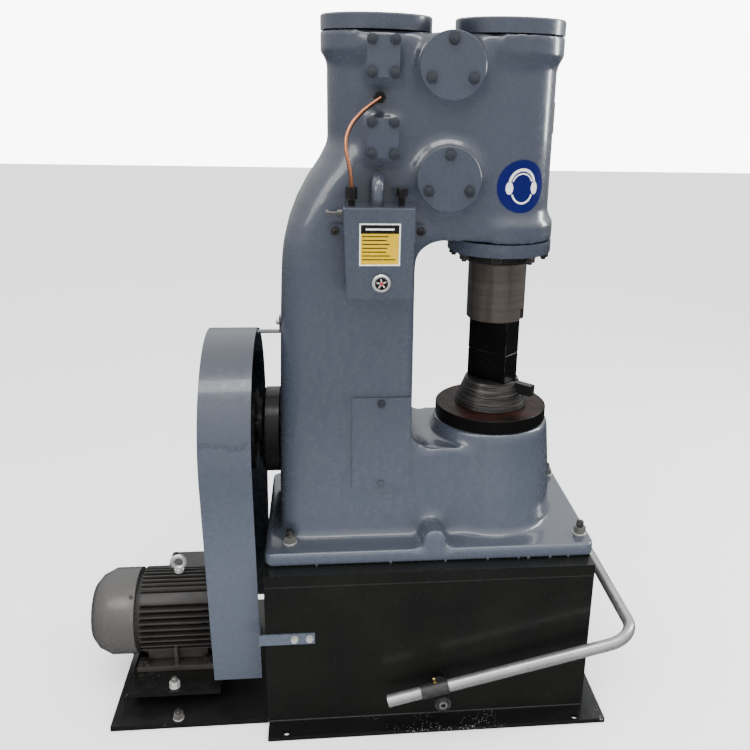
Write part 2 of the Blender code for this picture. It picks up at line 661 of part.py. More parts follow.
def build_motor():
    fins = []
    count = 44
    root_radius = motor_frame_radius - 12.0
    for i in range(count):
        middle = 360.0 * (i + 0.5) / count
        for radius, offset in ((root_radius, -2.8), (motor_frame_radius, -1.0), (motor_frame_radius, 1.0),
                               (root_radius, 2.8)):
            angle = math.radians(middle + offset)
            fins.append((radius * math.cos(angle), radius * math.sin(angle)))
    body = finish_mesh(prism(fins, -797.0, -632.0, "X"), "motor_body", motor_paint, (0.0, 0.0, motor_axis_z))
    foot_z = motor_foot_z - motor_axis_z
    solids = [
        rod(80.0, fan_cover_front_x + gap, -650.0, 48, "X"),
        turned([(motor_shaft_radius + 0.5, -640.0), (94.0, -640.0), (94.0, -625.0), (70.0, -608.0),
                (motor_shaft_radius + 0.5, -604.0)], 48, "X"),
    ]
    for side in (-1.0, 1.0):
        near = min(side * 60.0, side * 100.0)
        far = max(side * 60.0, side * 100.0)
        solids.append(box(-806.0, -630.0, near, far, foot_z, foot_z + 13.0))
        near = min(side * 52.0, side * 68.0)
        far = max(side * 52.0, side * 68.0)
        solids.append(box(-786.0, -650.0, near, far, foot_z, -40.0))
        near = min(side * 52.0, side * 96.0)
        far = max(side * 52.0, side * 96.0)
        solids.append(box(-722.0, -714.0, near, far, foot_z, -40.0))
    combine(body, solids, "UNION")
    cover = turned([(0.0, motor_end_x), (66.0, motor_end_x), (84.0, -893.0), (98.0, -866.0),
                    (98.0, fan_cover_front_x), (0.0, fan_cover_front_x)], 64, "X")
    finish_mesh(cover, "motor_fan_cover", fan_cover_paint, (0.0, 0.0, motor_axis_z))
    terminal_box = finish_mesh(box(-746.0, -640.0, 14.0, 92.0, 55.0, 96.0, 3.0), "motor_terminal_box",
                               motor_paint, (0.0, 0.0, motor_axis_z))
    combine(terminal_box, [rod(motor_frame_radius + gap, -760.0, -620.0, 96, "X")], "DIFFERENCE")
    eye_bolt = finish_mesh(rod(11.0, 0.0, 5.0, 20), "motor_eye_bolt", bright_steel,
                           (-716.0, 0.0, motor_axis_z + motor_frame_radius + gap))
    ring = turned([(15.0 + 5.0 * math.cos(a), 5.0 * math.sin(a)) for a in
                   [2.0 * math.pi * i / 10 for i in range(10)]], 22, "Y")
    combine(eye_bolt, [rod(6.0, 2.0, 11.0, 16), move(ring, 0.0, 0.0, 25.0)], "UNION")


# ---- treadle -----------------------------------------------------------------------------------

def treadle_height(x):
    return treadle_end_z + (x - treadle_end_x) * math.tan(treadle_slope)


def build_treadle():
    front_x = treadle_front_x - treadle_radius
    inner_x = front_x - treadle_bend_radius
    inner_y = treadle_y - treadle_bend_radius
    path = [(treadle_end_x, -treadle_y)]
    path += arc((inner_x, -inner_y), treadle_bend_radius, -90.0, 0.0, 8)
    path += arc((inner_x, inner_y), treadle_bend_radius, 0.0, 90.0, 8)
    path.append((treadle_end_x, treadle_y))
    points = [(x - pivot_x, y, treadle_height(x) - pivot_z) for x, y in path]
    finish_mesh(tube(points, treadle_radius, 20), "treadle_bar", bright_steel, (pivot_x, 0.0, pivot_z))
    axis_rise = treadle_height(pivot_x) - pivot_z
    for side, word in ((-1.0, "near"), (1.0, "far")):
        boss = finish_mesh(rod(18.0, side * 240.0, side * 306.0, 32, "Y"), "treadle_clamp_" + word,
                           black_iron, (pivot_x, 0.0, pivot_z))
        sleeve_start = Vector((-45.0, side * treadle_y, axis_rise - 45.0 * math.tan(treadle_slope)))
        sleeve_end = Vector((13.0, side * treadle_y, axis_rise + 13.0 * math.tan(treadle_slope)))
        along = (sleeve_end - sleeve_start).normalized()
        combine(boss, [tube([sleeve_start, sleeve_end], 15.5, 32)], "UNION")
        combine(boss, [
            tube([sleeve_start - along * 9.0, sleeve_end + along * 9.0], treadle_radius + gap, 32),
            rod(pivot_pin_radius + 0.5, side * 200.0, side * 330.0, 32, "Y"),
        ], "DIFFERENCE")
        finish_mesh(rod(pivot_pin_radius, min(side * 231.3, side * 310.0), max(side * 231.3, side * 310.0), 32, "Y"),
                    "treadle_pivot_pin_" + word, bright_steel, (pivot_x, 0.0, pivot_z))


def build_all():
    clear_scene()
    build_stand()
    build_motor_mounting()
    build_frame()
    build_covers()
    build_ram()
    build_anvil()
    build_oiler()
    build_drive_pulley()
    build_belts()
    build_guard()
    build_motor()
    build_treadle()


build_all()
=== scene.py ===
import random
from math import acos, cos, pi, radians, sin, sqrt

import bmesh
import bpy
from mathutils import Matrix, Vector
from mathutils.bvhtree import BVHTree
from mathutils.kdtree import KDTree


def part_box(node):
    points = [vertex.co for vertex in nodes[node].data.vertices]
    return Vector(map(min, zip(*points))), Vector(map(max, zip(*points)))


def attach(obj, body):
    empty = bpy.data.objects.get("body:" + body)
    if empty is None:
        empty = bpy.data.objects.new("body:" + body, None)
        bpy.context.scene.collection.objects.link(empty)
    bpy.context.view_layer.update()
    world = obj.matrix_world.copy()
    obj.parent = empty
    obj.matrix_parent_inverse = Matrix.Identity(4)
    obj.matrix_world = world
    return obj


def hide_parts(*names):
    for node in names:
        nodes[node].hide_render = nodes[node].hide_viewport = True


mm = 0.001
move = Matrix.Translation
mergeDistance = 0.00001  # metres, like every length that isn't multiplied by mm
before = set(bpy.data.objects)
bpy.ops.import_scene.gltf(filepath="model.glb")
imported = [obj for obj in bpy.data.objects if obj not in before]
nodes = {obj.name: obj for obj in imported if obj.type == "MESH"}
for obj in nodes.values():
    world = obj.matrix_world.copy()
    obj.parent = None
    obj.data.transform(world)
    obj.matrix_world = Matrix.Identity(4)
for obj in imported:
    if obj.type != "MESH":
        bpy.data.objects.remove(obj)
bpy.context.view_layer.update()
ramLow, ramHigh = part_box("ram")
ramX = 0.5 * (ramLow.x + ramHigh.x)


# a new object for a bmesh, at the origin
def linked(name, bm):
    mesh = bpy.data.meshes.new(name)
    bm.to_mesh(mesh)
    bm.free()
    piece = bpy.data.objects.new(name, mesh)
    bpy.context.scene.collection.objects.link(piece)
    return piece


# a place in millimetres, with x measured from the ram's axis
def at(x, y, z):
    return Vector((ramX + x * mm, y * mm, z * mm))


# a bmesh becomes a named piece, shaded smooth below the sharp angle, that rides on a body
def finishPiece(name, bm, material, body="frame_body", sharp=35.0, recalc=True):
    bmesh.ops.remove_doubles(bm, verts=bm.verts, dist=mergeDistance)
    if recalc:
        bmesh.ops.recalc_face_normals(bm, faces=bm.faces)
    for face in bm.faces:
        face.smooth = True
    for edge in bm.edges:
        edge.smooth = edge.calc_face_angle(0.0) < radians(sharp)
    piece = linked(name, bm)
    piece.data.materials.append(material)
    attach(piece, body)
    return piece


# wires one Principled material
class Shader:
    def __init__(self, name):
        self.material = bpy.data.materials.new(name)
        self.material.use_nodes = True
        self.nodes = self.material.node_tree.nodes
        self.links = self.material.node_tree.links
        self.surface = self.nodes["Principled BSDF"]
        self.place = self.nodes.new("ShaderNodeTexCoord").outputs["Object"]

    def noise(self, scale, detail=3.0, stretch=(1.0, 1.0, 1.0), roughness=0.55):
        mapping = self.nodes.new("ShaderNodeMapping")
        mapping.inputs["Scale"].default_value = stretch
        self.links.new(self.place, mapping.inputs["Vector"])
        texture = self.nodes.new("ShaderNodeTexNoise")
        texture.inputs["Scale"].default_value = scale
        texture.inputs["Detail"].default_value = detail
        texture.inputs["Roughness"].default_value = roughness
        self.links.new(mapping.outputs["Vector"], texture.inputs["Vector"])
        return texture.outputs["Fac"]

    def spots(self, scale, size, soft=0.05):
        texture = self.nodes.new("ShaderNodeTexVoronoi")
        texture.inputs["Scale"].default_value = scale
        self.links.new(self.place, texture.inputs["Vector"])
        return self.span(texture.outputs["Distance"], size + soft, size, 0.0, 1.0)

    def span(self, value, low, high, toLow, toHigh):
        remap = self.nodes.new("ShaderNodeMapRange")
        for socket, number in (("From Min", low), ("From Max", high), ("To Min", toLow), ("To Max", toHigh)):
            remap.inputs[socket].default_value = number
        self.links.new(value, remap.inputs["Value"])
        return remap.outputs["Result"]

    def times(self, first, second):
        product = self.nodes.new("ShaderNodeMath")
        product.operation = "MULTIPLY"
        self.links.new(first, product.inputs[0])
        self.links.new(second, product.inputs[1])
        return product.outputs["Value"]

    def mix(self, factor, first, second):
        blend = self.nodes.new("ShaderNodeMix")
        blend.data_type = "RGBA"
        self.links.new(factor, blend.inputs["Factor"])
        for socket, colour in ((blend.inputs["A"], first), (blend.inputs["B"], second)):
            if isinstance(colour, bpy.types.NodeSocket):
                self.links.new(colour, socket)
            else:
                socket.default_value = (*colour, 1.0)
        return blend.outputs["Result"]

    def edges(self, radius):
        # 1 on worn or thinly covered corners, 0 on open surfaces
        bevel = self.nodes.new("ShaderNodeBevel")
        bevel.samples = 4
        bevel.inputs["Radius"].default_value = radius
        geometry = self.nodes.new("ShaderNodeNewGeometry")
        dot = self.nodes.new("ShaderNodeVectorMath")
        dot.operation = "DOT_PRODUCT"
        self.links.new(bevel.outputs["Normal"], dot.inputs[0])
        self.links.new(geometry.outputs["Normal"], dot.inputs[1])
        return self.span(dot.outputs["Value"], 0.98, 0.80, 0.0, 1.0)

    def bump(self, layers):
        previous = None
        for height, strength, distance in layers:
            bump = self.nodes.new("ShaderNodeBump")
            bump.inputs["Strength"].default_value = strength
            bump.inputs["Distance"].default_value = distance
            self.links.new(height, bump.inputs["Height"])
            if previous:
                self.links.new(previous, bump.inputs["Normal"])
            previous = bump.outputs["Normal"]
        self.links.new(previous, self.surface.inputs["Normal"])

    def set(self, **values):
        for name, value in values.items():
            socket = self.surface.inputs[name.replace("_", " ")]
            if isinstance(value, bpy.types.NodeSocket):
                self.links.new(value, socket)
            elif isinstance(value, tuple):
                socket.default_value = (*value, 1.0)
            else:
                socket.default_value = value


greyEnamel = {
    "colour": (0.0255, 0.0306, 0.0425),
    "dusty": (0.0275, 0.0330, 0.0455),
    "thin": (0.0220, 0.0265, 0.0370),
    "paintedLowLight": (0.0450, 0.0530, 0.0690),  # painted light: paler low down, standing in for the light the lower parts get from the floor
    "paintedLowLightHeights": (0.36, 0.72),  # heights between which the painted light fades away
    "roughness": (0.20, 0.34),
    "lumpSize": 26.0,
    "peelSize": 240.0,
}
boltEnamel = dict(greyEnamel, colour=(0.0085, 0.0100, 0.0140), dusty=(0.0135, 0.0160, 0.0220),
    thin=(0.0050, 0.0056, 0.0075))


def enamelMaterial(name, look, lumps=0.12, peel=0.08, coat=0.35):
    s = Shader(name)
    broad = s.noise(4.5, 4.0)
    streaks = s.noise(9.0, 3.0, (1.0, 1.0, 0.16))
    colour = s.mix(s.span(broad, 0.35, 0.70, 0.0, 1.0), look["colour"], look["dusty"])
    colour = s.mix(s.span(streaks, 0.50, 0.90, 0.0, 0.45), colour, look["thin"])
    axes = s.nodes.new("ShaderNodeSeparateXYZ")
    s.links.new(s.place, axes.inputs["Vector"])
    # painted light: the colour turns paler towards the bottom, for the light the floor throws on the lower
    # parts
    colour = s.mix(s.span(axes.outputs["Z"], *look["paintedLowLightHeights"], 1.0, 0.0), colour, look["paintedLowLight"])
    grain = s.noise(60.0, 5.0)
    low, high = look["roughness"]
    s.set(Base_Color=colour, Roughness=s.span(grain, 0.30, 0.72, low, high), Coat_Weight=coat,
        Coat_Roughness=0.07, Specular_IOR_Level=0.5)
    s.bump([
        (s.noise(look["lumpSize"], 2.0), lumps, 0.0022),
        (s.noise(look["peelSize"], 2.0), peel, 0.0006),
    ])
    return s.material


blackEnamel = {"colour": (0.0040, 0.0042, 0.0038), "dusty": (0.0058, 0.0059, 0.0053),
    "speck": (0.42, 0.42, 0.40)}


def blackMaterial(name, look, specks=0.0, lumps=0.12, roughness=(0.16, 0.30), specular=0.30):
    s = Shader(name)
    broad = s.noise(6.0, 4.0)
    colour = s.mix(s.span(broad, 0.35, 0.70, 0.0, 1.0), look["colour"], look["dusty"])
    if specks:
        dots = s.times(s.spots(230.0, specks), s.span(s.noise(9.0, 2.0), 0.54, 0.66, 0.0, 1.0))
        colour = s.mix(dots, colour, look["speck"])
    s.set(Base_Color=colour, Roughness=s.span(s.noise(45.0, 4.0), 0.3, 0.7, *roughness),
        Specular_IOR_Level=specular)
    s.bump([(s.noise(22.0, 2.0), lumps, 0.0016), (s.noise(260.0, 2.0), 0.10, 0.0005)])
    return s.material


# bare, oiled or plainly painted iron, with a paler worn edge where one is given
def ironMaterial(name, colour, other, roughness, metallic=0.0, grain=420.0, strength=0.25, edge=None,
    specular=0.5, patches=14.0):
    s = Shader(name)
    tone = s.mix(s.span(s.noise(patches, 5.0), 0.32, 0.70, 0.0, 1.0), colour, other)
    if edge:
        tone = s.mix(s.times(s.edges(0.0016), s.span(s.noise(70.0, 4.0), 0.42, 0.60, 0.0, 1.0)), tone, edge)
    s.set(Base_Color=tone, Roughness=s.span(s.noise(90.0, 4.0), 0.3, 0.7, *roughness), Metallic=metallic,
        Specular_IOR_Level=specular)
    s.bump([(s.noise(grain, 3.0), strength, 0.0004)])
    return s.material


roundUpright = (0.02, 0.02, 1.0)  # stretches a pattern into bands round a vertical axis
streaksDown = (1.0, 1.0, 0.10)


# tool marks that run round the upright axis, under stains that run down
def turnedMaterial(name, colour, other, roughness, rings, strength, stain, metallic=1.0):
    s = Shader(name)
    bands = s.noise(rings, 4.0, roundUpright, 0.75)
    wide = s.noise(rings * 0.08, 3.0, roundUpright)
    tone = s.mix(s.span(wide, 0.35, 0.65, 0.0, 1.0), colour, other)
    tone = s.mix(s.span(s.noise(34.0, 5.0, streaksDown), 0.50, 0.70, 0.0, 0.8), tone, stain)
    s.set(Base_Color=tone, Roughness=s.span(bands, 0.3, 0.7, *roughness), Metallic=metallic)
    s.bump([(bands, strength, 0.0005)])
    return s.material


greyPaint = enamelMaterial("greyEnamel", greyEnamel)
castPaint = enamelMaterial("castEnamel", greyEnamel, lumps=0.20, peel=0.05, coat=0.45)
boltPaint = enamelMaterial("boltEnamel", boltEnamel, lumps=0.10, peel=0.10, coat=0.20)
sheetPaint = enamelMaterial("sheetEnamel", greyEnamel, lumps=0.05, peel=0.06, coat=0.30)
standPaint = blackMaterial("standEnamel", blackEnamel)
flangePaint = blackMaterial("flangeEnamel", blackEnamel, specks=0.15)
platePaint = blackMaterial("motorPlateEnamel", blackEnamel, specks=0.07, lumps=0.25, roughness=(0.28, 0.45))
blackIron = ironMaterial("oiledIron", (0.0030, 0.0029, 0.0029), (0.0060, 0.0055, 0.0052), (0.22, 0.42),
    strength=0.35, edge=(0.05, 0.047, 0.044), specular=0.25)
clampIron = ironMaterial("roughClampIron", (0.0040, 0.0040, 0.0042), (0.026, 0.025, 0.025), (0.30, 0.50),
    grain=330.0, strength=0.9, specular=0.4, patches=260.0)
dieSteel = ironMaterial("dieSteel", (0.0013, 0.0012, 0.0014), (0.0028, 0.0024, 0.0023), (0.16, 0.30),
    grain=300.0, strength=0.25, edge=(0.09, 0.075, 0.06), specular=0.15)


# oily black disc, with patches of painted brown reflection on its top, and a turned cone standing on it
def capMaterial(name, disc, cone, topHeight):
    s = Shader(name)
    axes = s.nodes.new("ShaderNodeSeparateXYZ")
    s.links.new(s.place, axes.inputs["Vector"])
    upper = s.span(axes.outputs["Z"], topHeight + 0.0015, topHeight + 0.0030, 0.0, 1.0)
    face = s.span(axes.outputs["Z"], topHeight - 0.0010, topHeight - 0.0004, 0.0, 1.0)
    bands = s.noise(620.0, 3.0, roundUpright, 0.7)
    # painted reflection: brown patches on the disc's top stand in for a warm floor mirrored there
    oil = s.mix(s.span(s.noise(20.0, 5.0), 0.35, 0.66, 0.0, 1.0), disc["oily"], disc["paintedBrownReflection"])
    side = s.mix(face, disc["side"], oil)
    turned = s.mix(s.span(bands, 0.38, 0.62, 0.0, 1.0), cone["low"], cone["high"])
    s.set(Base_Color=s.mix(upper, side, turned), Metallic=s.span(upper, 0.0, 1.0, 0.0, 0.75),
        Roughness=s.span(s.noise(70.0, 4.0), 0.3, 0.7, 0.26, 0.44), Specular_IOR_Level=0.06)
    s.bump([(bands, 0.8, 0.0006), (s.noise(240.0, 3.0), 0.25, 0.0004)])
    return s.material


capDisc = {"oily": (0.0050, 0.0034, 0.0030), "paintedBrownReflection": (0.0210, 0.0072, 0.0055),
    "side": (0.0020, 0.0019, 0.0018), "thick": 30.0}
capCone = {"low": (0.010, 0.0095, 0.0090), "high": (0.080, 0.074, 0.071)}
capIron = capMaterial("anvilCapIron", capDisc, capCone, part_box("anvil_cap")[0].z + capDisc["thick"] * mm)
pulleyIron = ironMaterial("pulleyIron", (0.0026, 0.0026, 0.0026), (0.005, 0.005, 0.005), (0.20, 0.34),
    specular=0.2)
boltBlack = ironMaterial("blackBolts", (0.0045, 0.0043, 0.0042), (0.0105, 0.0095, 0.0085), (0.25, 0.42),
    edge=(0.12, 0.11, 0.10), specular=0.3)
boltZinc = ironMaterial("zincBolts", (0.46, 0.455, 0.44), (0.30, 0.295, 0.285), (0.20, 0.38), 0.50,
    strength=0.15)
pinSteel = ironMaterial("pinSteel", (0.150, 0.147, 0.140), (0.080, 0.077, 0.073), (0.22, 0.40), 0.60,
    strength=0.2)
motorPaint = ironMaterial("motorPaint", (0.017, 0.0155, 0.0145), (0.026, 0.0235, 0.0215), (0.34, 0.50),
    grain=260.0, strength=0.45, edge=(0.06, 0.056, 0.052), specular=0.35)
fanPaint = ironMaterial("fanCoverPaint", (0.054, 0.0515, 0.049), (0.066, 0.063, 0.060), (0.22, 0.32), 0.25,
    grain=300.0, strength=0.04, patches=5.0)
beltRubber = ironMaterial("beltRubber", (0.006, 0.006, 0.006), (0.012, 0.0115, 0.011), (0.60, 0.85),
    specular=0.2)
brass = ironMaterial("brassNipple", (0.62, 0.46, 0.20), (0.45, 0.32, 0.12), (0.22, 0.36), 1.0)
chrome = ironMaterial("chromeRing", (0.62, 0.62, 0.61), (0.48, 0.48, 0.47), (0.10, 0.20), 0.70, strength=0.05)
starPale = ironMaterial("starPale", (0.34, 0.33, 0.31), (0.22, 0.21, 0.20), (0.20, 0.35), 0.1, strength=0.05)
paleSteel = ironMaterial("treadleBarSteel", (0.42, 0.415, 0.41), (0.29, 0.285, 0.28), (0.24, 0.40), 0.80,
    grain=500.0, strength=0.30)
copperPipe = turnedMaterial("copperPipe", (0.62, 0.27, 0.15), (0.46, 0.18, 0.10), (0.16, 0.28), 300.0, 0.1,
    (0.085, 0.030, 0.018))
ramSteel = turnedMaterial("turnedRam", (0.150, 0.127, 0.112), (0.112, 0.094, 0.083), (0.30, 0.46), 900.0,
    0.25, (0.055, 0.044, 0.037), metallic=0.86)


def labelMaterial(name, colour, other, roughness, specular=0.5):
    return ironMaterial(name, colour, other, roughness, strength=0.05, specular=specular)


# black for print and the sight glass's window, and painted shade in each socket recess and in the fan
# grille's openings
printAndShadeBlack = labelMaterial("printAndShadeBlack", (0.003, 0.003, 0.003), (0.005, 0.005, 0.005), (0.22, 0.30))
labelWhite = labelMaterial("labelWhite", (0.50, 0.50, 0.49), (0.45, 0.45, 0.44), (0.25, 0.35))
labelYellow = labelMaterial("labelYellow", (0.36, 0.235, 0.0), (0.32, 0.205, 0.0), (0.25, 0.35), 0.1)
signBlue = labelMaterial("signBlue", (0.0016, 0.0028, 0.048), (0.0022, 0.0038, 0.056), (0.20, 0.28), 0.2)
starRed = labelMaterial("starRed", (0.25, 0.010, 0.008), (0.18, 0.008, 0.006), (0.2, 0.3))
print("materials made")

cylinderCovers = ["compressor_cylinder_cover", "ram_cylinder_cover", "ram_cylinder_lower_cover"]
valveCovers = [level + "_valve_cover" + far for far in ("", "_far") for level in ("upper", "lower")]
portCovers = [name.replace("valve", "port") for name in valveCovers]
nodeLooks = {
    castPaint: ["oil_box", "oil_filler_elbow"],
    greyPaint: cylinderCovers + valveCovers + portCovers + ["column_access_cover"],
    sheetPaint: ["belt_guard", "guard_lower_bracket", "guard_upper_bracket"],
    standPaint: ["stand_box"],
    flangePaint: ["stand_base_flange"],
    platePaint: ["motor_floor_plate", "motor_mounting_plate"],
    clampIron: ["treadle_clamp_near", "treadle_clamp_far"],
    blackIron: ["ram_gland", "upper_die_key", "lower_die_key",
    "oil_box_plug", "oil_pipe_lower_fitting", "oil_pipe_upper_fitting"],
    dieSteel: ["upper_die", "lower_die"],
    pulleyIron: ["drive_pulley", "motor_pulley", "crankshaft_bearing_housing"],
    capIron: ["anvil_cap"],
    ramSteel: ["ram"],
    motorPaint: ["motor_body", "motor_terminal_box"],
    fanPaint: ["motor_fan_cover"],
    beltRubber: ["drive_belt_1", "drive_belt_2"],
    copperPipe: ["oil_pipe"],
    chrome: ["oil_sight_glass", "motor_eye_bolt"],
    pinSteel: ["treadle_pivot_pin_near", "treadle_pivot_pin_far", "oil_flow_screw"],
    paleSteel: ["treadle_bar"],
}
for material, names in nodeLooks.items():
    for name in names:
        nodes[name].data.materials.clear()
        nodes[name].data.materials.append(material)
print("CAD nodes finished")

# round and rolled nodes are merged copies, so that their shading runs smoothly round them
roundNodes = {
    "frame_body": ["belt_guard", "crankshaft_bearing_housing", *cylinderCovers, "ram_gland", "anvil_cap",
    *valveCovers, "motor_fan_cover", "oil_pipe", "oil_filler_elbow", "oil_sight_glass",
    "motor_eye_bolt", "oil_flow_screw"],
    "ram_body": ["ram"],
    "drive_pulley_body": ["drive_pulley"],
    "motor_pulley_body": ["motor_pulley"],
    "treadle_body": ["treadle_bar", "treadle_clamp_near", "treadle_clamp_far"],
}
for body, names in roundNodes.items():
    for name in names:
        bm = bmesh.new()
        bm.from_mesh(nodes[name].data)
        smooth = finishPiece("smooth_" + name, bm, nodes[name].data.materials[0], body,
            sharp=40.0, recalc=False)
        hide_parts(name)
print("round nodes smoothed")


# the frame casting, remeshed so that its inner corners can be smoothed into cast fillets
casting = {"voxel": 0.0052, "corner": -25.0, "spacing": 0.004, "reach": 0.022, "soften": 3, "rounds": 40}


def bakeModifiers(piece):
    bpy.context.view_layer.update()
    shape = piece.evaluated_get(bpy.context.evaluated_depsgraph_get())
    mesh = bpy.data.meshes.new_from_object(shape, preserve_all_data_layers=True,
        depsgraph=bpy.context.evaluated_depsgraph_get())
    piece.modifiers.clear()
    piece.data = mesh


# points along every edge where two faces meet in a hollow
def hollowCorners(bm):
    points = []
    for edge in bm.edges:
        if len(edge.link_faces) == 2 and edge.calc_face_angle_signed(0.0) < radians(casting["corner"]):
            start, end = edge.verts[0].co, edge.verts[1].co
            count = max(1, int((end - start).length / casting["spacing"]))
            points += [start.lerp(end, i / count) for i in range(count + 1)]
    return points


# vertices near the hollow corners, weighted by how near they are
def filletGroup(piece, corners):
    tree = KDTree(len(corners))
    for i, point in enumerate(corners):
        tree.insert(point, i)
    tree.balance()
    group = piece.vertex_groups.new(name="fillets")
    levels = {}
    for vertex in piece.data.vertices:
        distance = tree.find(vertex.co)[2]
        if distance < casting["reach"]:
            weight = 1.0 - (distance / casting["reach"]) ** 2
            levels.setdefault(round(weight, 1), []).append(vertex.index)
    for weight, indices in levels.items():
        group.add(indices, weight, "REPLACE")
    return group.name


def smoothModifier(piece, name, rounds, group=""):
    soft = piece.modifiers.new(name, "SMOOTH")
    soft.factor = 0.5
    soft.iterations = rounds
    soft.vertex_group = group


def castPiece():
    bm = bmesh.new()
    bm.from_mesh(nodes["frame_casting"].data)
    bmesh.ops.remove_doubles(bm, verts=bm.verts, dist=mergeDistance)
    corners = hollowCorners(bm)
    piece = linked("castFrame", bm)
    remesh = piece.modifiers.new("voxels", "REMESH")
    remesh.mode = "VOXEL"
    remesh.voxel_size = casting["voxel"]
    bakeModifiers(piece)
    fillets = filletGroup(piece, corners)
    smoothModifier(piece, "edges", casting["soften"])
    smoothModifier(piece, "fillets", casting["rounds"], fillets)
    bakeModifiers(piece)
    piece.vertex_groups.clear()
    for face in piece.data.polygons:
        face.use_smooth = True
    piece.data.materials.clear()
    piece.data.materials.append(castPaint)
    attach(piece, "frame_body")
    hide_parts("frame_casting")
    print("casting made,", len(piece.data.polygons), "faces")


castPiece()


contact = 0.0001  # a seated piece stands this far off its face
washerThick = 0.0022


# a frame of axes on a face, turned about its normal
def facing(centre, normal, turn=0.0):
    tilt = Vector(normal).normalized().to_track_quat("Z", "Y").to_matrix().to_4x4()
    return move(centre) @ tilt @ Matrix.Rotation(turn, 4, "Z")


# a prism between two heights above a face: returns its end faces and its axis
def prism(bm, place, radius, low, high, segments):
    made = bmesh.ops.create_cone(bm, cap_ends=True, segments=segments, radius1=radius, radius2=radius,
        depth=high - low, matrix=place @ move((0, 0, 0.5 * (low + high))))
    axis = place.to_3x3() @ Vector((0, 0, 1))
    faces = {face for vertex in made["verts"] for face in vertex.link_faces}
    return [face for face in faces if abs(face.normal.dot(axis)) > 0.9], axis


def bevelEdges(bm, edges, offset, segments=2, profile=0.5):
    bmesh.ops.bevel(bm, geom=list(edges), offset=offset, segments=segments, profile=profile,
        affect="EDGES", material=-1)


# a hexagon with the corners of its outer end taken off
def hexPrism(bm, place, across, low, high, chamfer=0.05):
    ends, axis = prism(bm, place, across / sqrt(3.0), low, high, 6)
    bevelEdges(bm, {e for f in ends for e in f.edges if f.normal.dot(axis) > 0.0}, chamfer * across,
        profile=0.6)


def disc(bm, place, radius, low, high, bevel=0.0, segments=32):
    ends, axis = prism(bm, place, radius, low, high, segments)
    if bevel:
        bevelEdges(bm, {e for f in ends for e in f.edges if f.normal.dot(axis) > 0.0}, bevel, 3)


# hexagon heads at several places, each with a raised ring and perhaps a washer of some radius
def boltGroup(name, places, material, slot, across=0.019, height=0.0078, washer=0.0):
    bm = bmesh.new()
    for centre, normal, turn in places:
        place = facing(centre, normal, turn)
        if washer:
            disc(bm, place, washer, contact, washerThick, 0.0006)
        hexPrism(bm, place, across, washerThick if washer else contact, height)
        disc(bm, place, 0.34 * across, height - contact, height + 0.0004, 0.0003, 24)
    finishPiece(name, bm, material, sharp=22.0)


spins = random.Random(11)


# heads and nuts are tightened to any angle
def spin():
    return spins.uniform(0.0, pi / 3.0)


# bolts on the side covers, near side first
sideCovers = {"valveRing": 46.0, "valveAngles": (90.0, 210.0, 330.0), "portX": 21.5, "portZ": 29.5}


# the middle of a side cover's outer face
def coverFace(name, side):
    low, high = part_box(name)
    middle = 0.5 * (low + high)
    middle.y = low.y if side < 0 else high.y
    return middle


for side, tail, far in ((-1.0, "", ""), (1.0, "Far", "_far")):
    valvePlaces, portPlaces = [], []
    for level in ("upper", "lower"):
        middle = coverFace(level + "_valve_cover" + far, side)
        for angle in sideCovers["valveAngles"]:
            turn = radians(angle)
            reach = Vector((cos(turn), 0.0, sin(turn))) * sideCovers["valveRing"] * mm
            valvePlaces.append((middle + reach, (0, side, 0), spin()))
    boltGroup("valveCoverBolts" + tail, valvePlaces, boltPaint, "upper_valve_cover")
    for level in ("upper", "lower"):
        middle = coverFace(level + "_port_cover" + far, side)
        for x in (-sideCovers["portX"], sideCovers["portX"]):
            for z in (-sideCovers["portZ"], sideCovers["portZ"]):
                portPlaces.append((middle + Vector((x * mm, 0.0, z * mm)), (0, side, 0), spin()))
    boltGroup("portCoverBolts" + tail, portPlaces, boltPaint, "upper_port_cover")

# the access cover leans back with the column, so its upper bolt sits further in
accessBolts = {"fromEnd": 12.0, "proud": 0.5, "upperSet": 4.4, "lean": 0.023, "across": 16.0, "height": 6.0}
accessLow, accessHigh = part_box("column_access_cover")
accessX, accessY = 0.5 * (accessLow.x + accessHigh.x), accessLow.y + accessBolts["proud"] * mm
leanNormal = Vector((0.0, -1.0, accessBolts["lean"]))
lowerPlace, upperPlace = [(Vector((accessX, accessY, z)), leanNormal, spin())
    for z in (accessLow.z + accessBolts["fromEnd"] * mm,
    accessHigh.z - accessBolts["fromEnd"] * mm)]
upperPlace = (upperPlace[0] + Vector((0, accessBolts["upperSet"] * mm, 0)), leanNormal, spin())
boltGroup("accessCoverBolts", [lowerPlace, upperPlace], boltPaint, "column_access_cover",
    accessBolts["across"] * mm, accessBolts["height"] * mm)

# hex heads and stud ends under the lower cover
lowerRing = {"radius": 96.0, "turn": -14.0, "count": 8, "washer": 12.5, "across": 19.0, "nut": 12.0,
    "stud": 5.5, "end": 17.0}
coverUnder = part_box("ram_cylinder_lower_cover")[0].z
bm = bmesh.new()
for i in range(lowerRing["count"]):
    angle = radians(360.0 * i / lowerRing["count"] + lowerRing["turn"])
    centre = at(lowerRing["radius"] * cos(angle), lowerRing["radius"] * sin(angle), 0.0)
    centre.z = coverUnder
    place = facing(centre, (0, 0, -1), spin())
    disc(bm, place, lowerRing["washer"] * mm, contact, washerThick, 0.0006, 24)
    hexPrism(bm, place, lowerRing["across"] * mm, washerThick, lowerRing["nut"] * mm)
    disc(bm, place, lowerRing["stud"] * mm, lowerRing["nut"] * mm - 0.0002, lowerRing["end"] * mm, 0.001, 16)
finishPiece("lowerCoverBolts", bm, boltBlack)
print("cover bolts made")

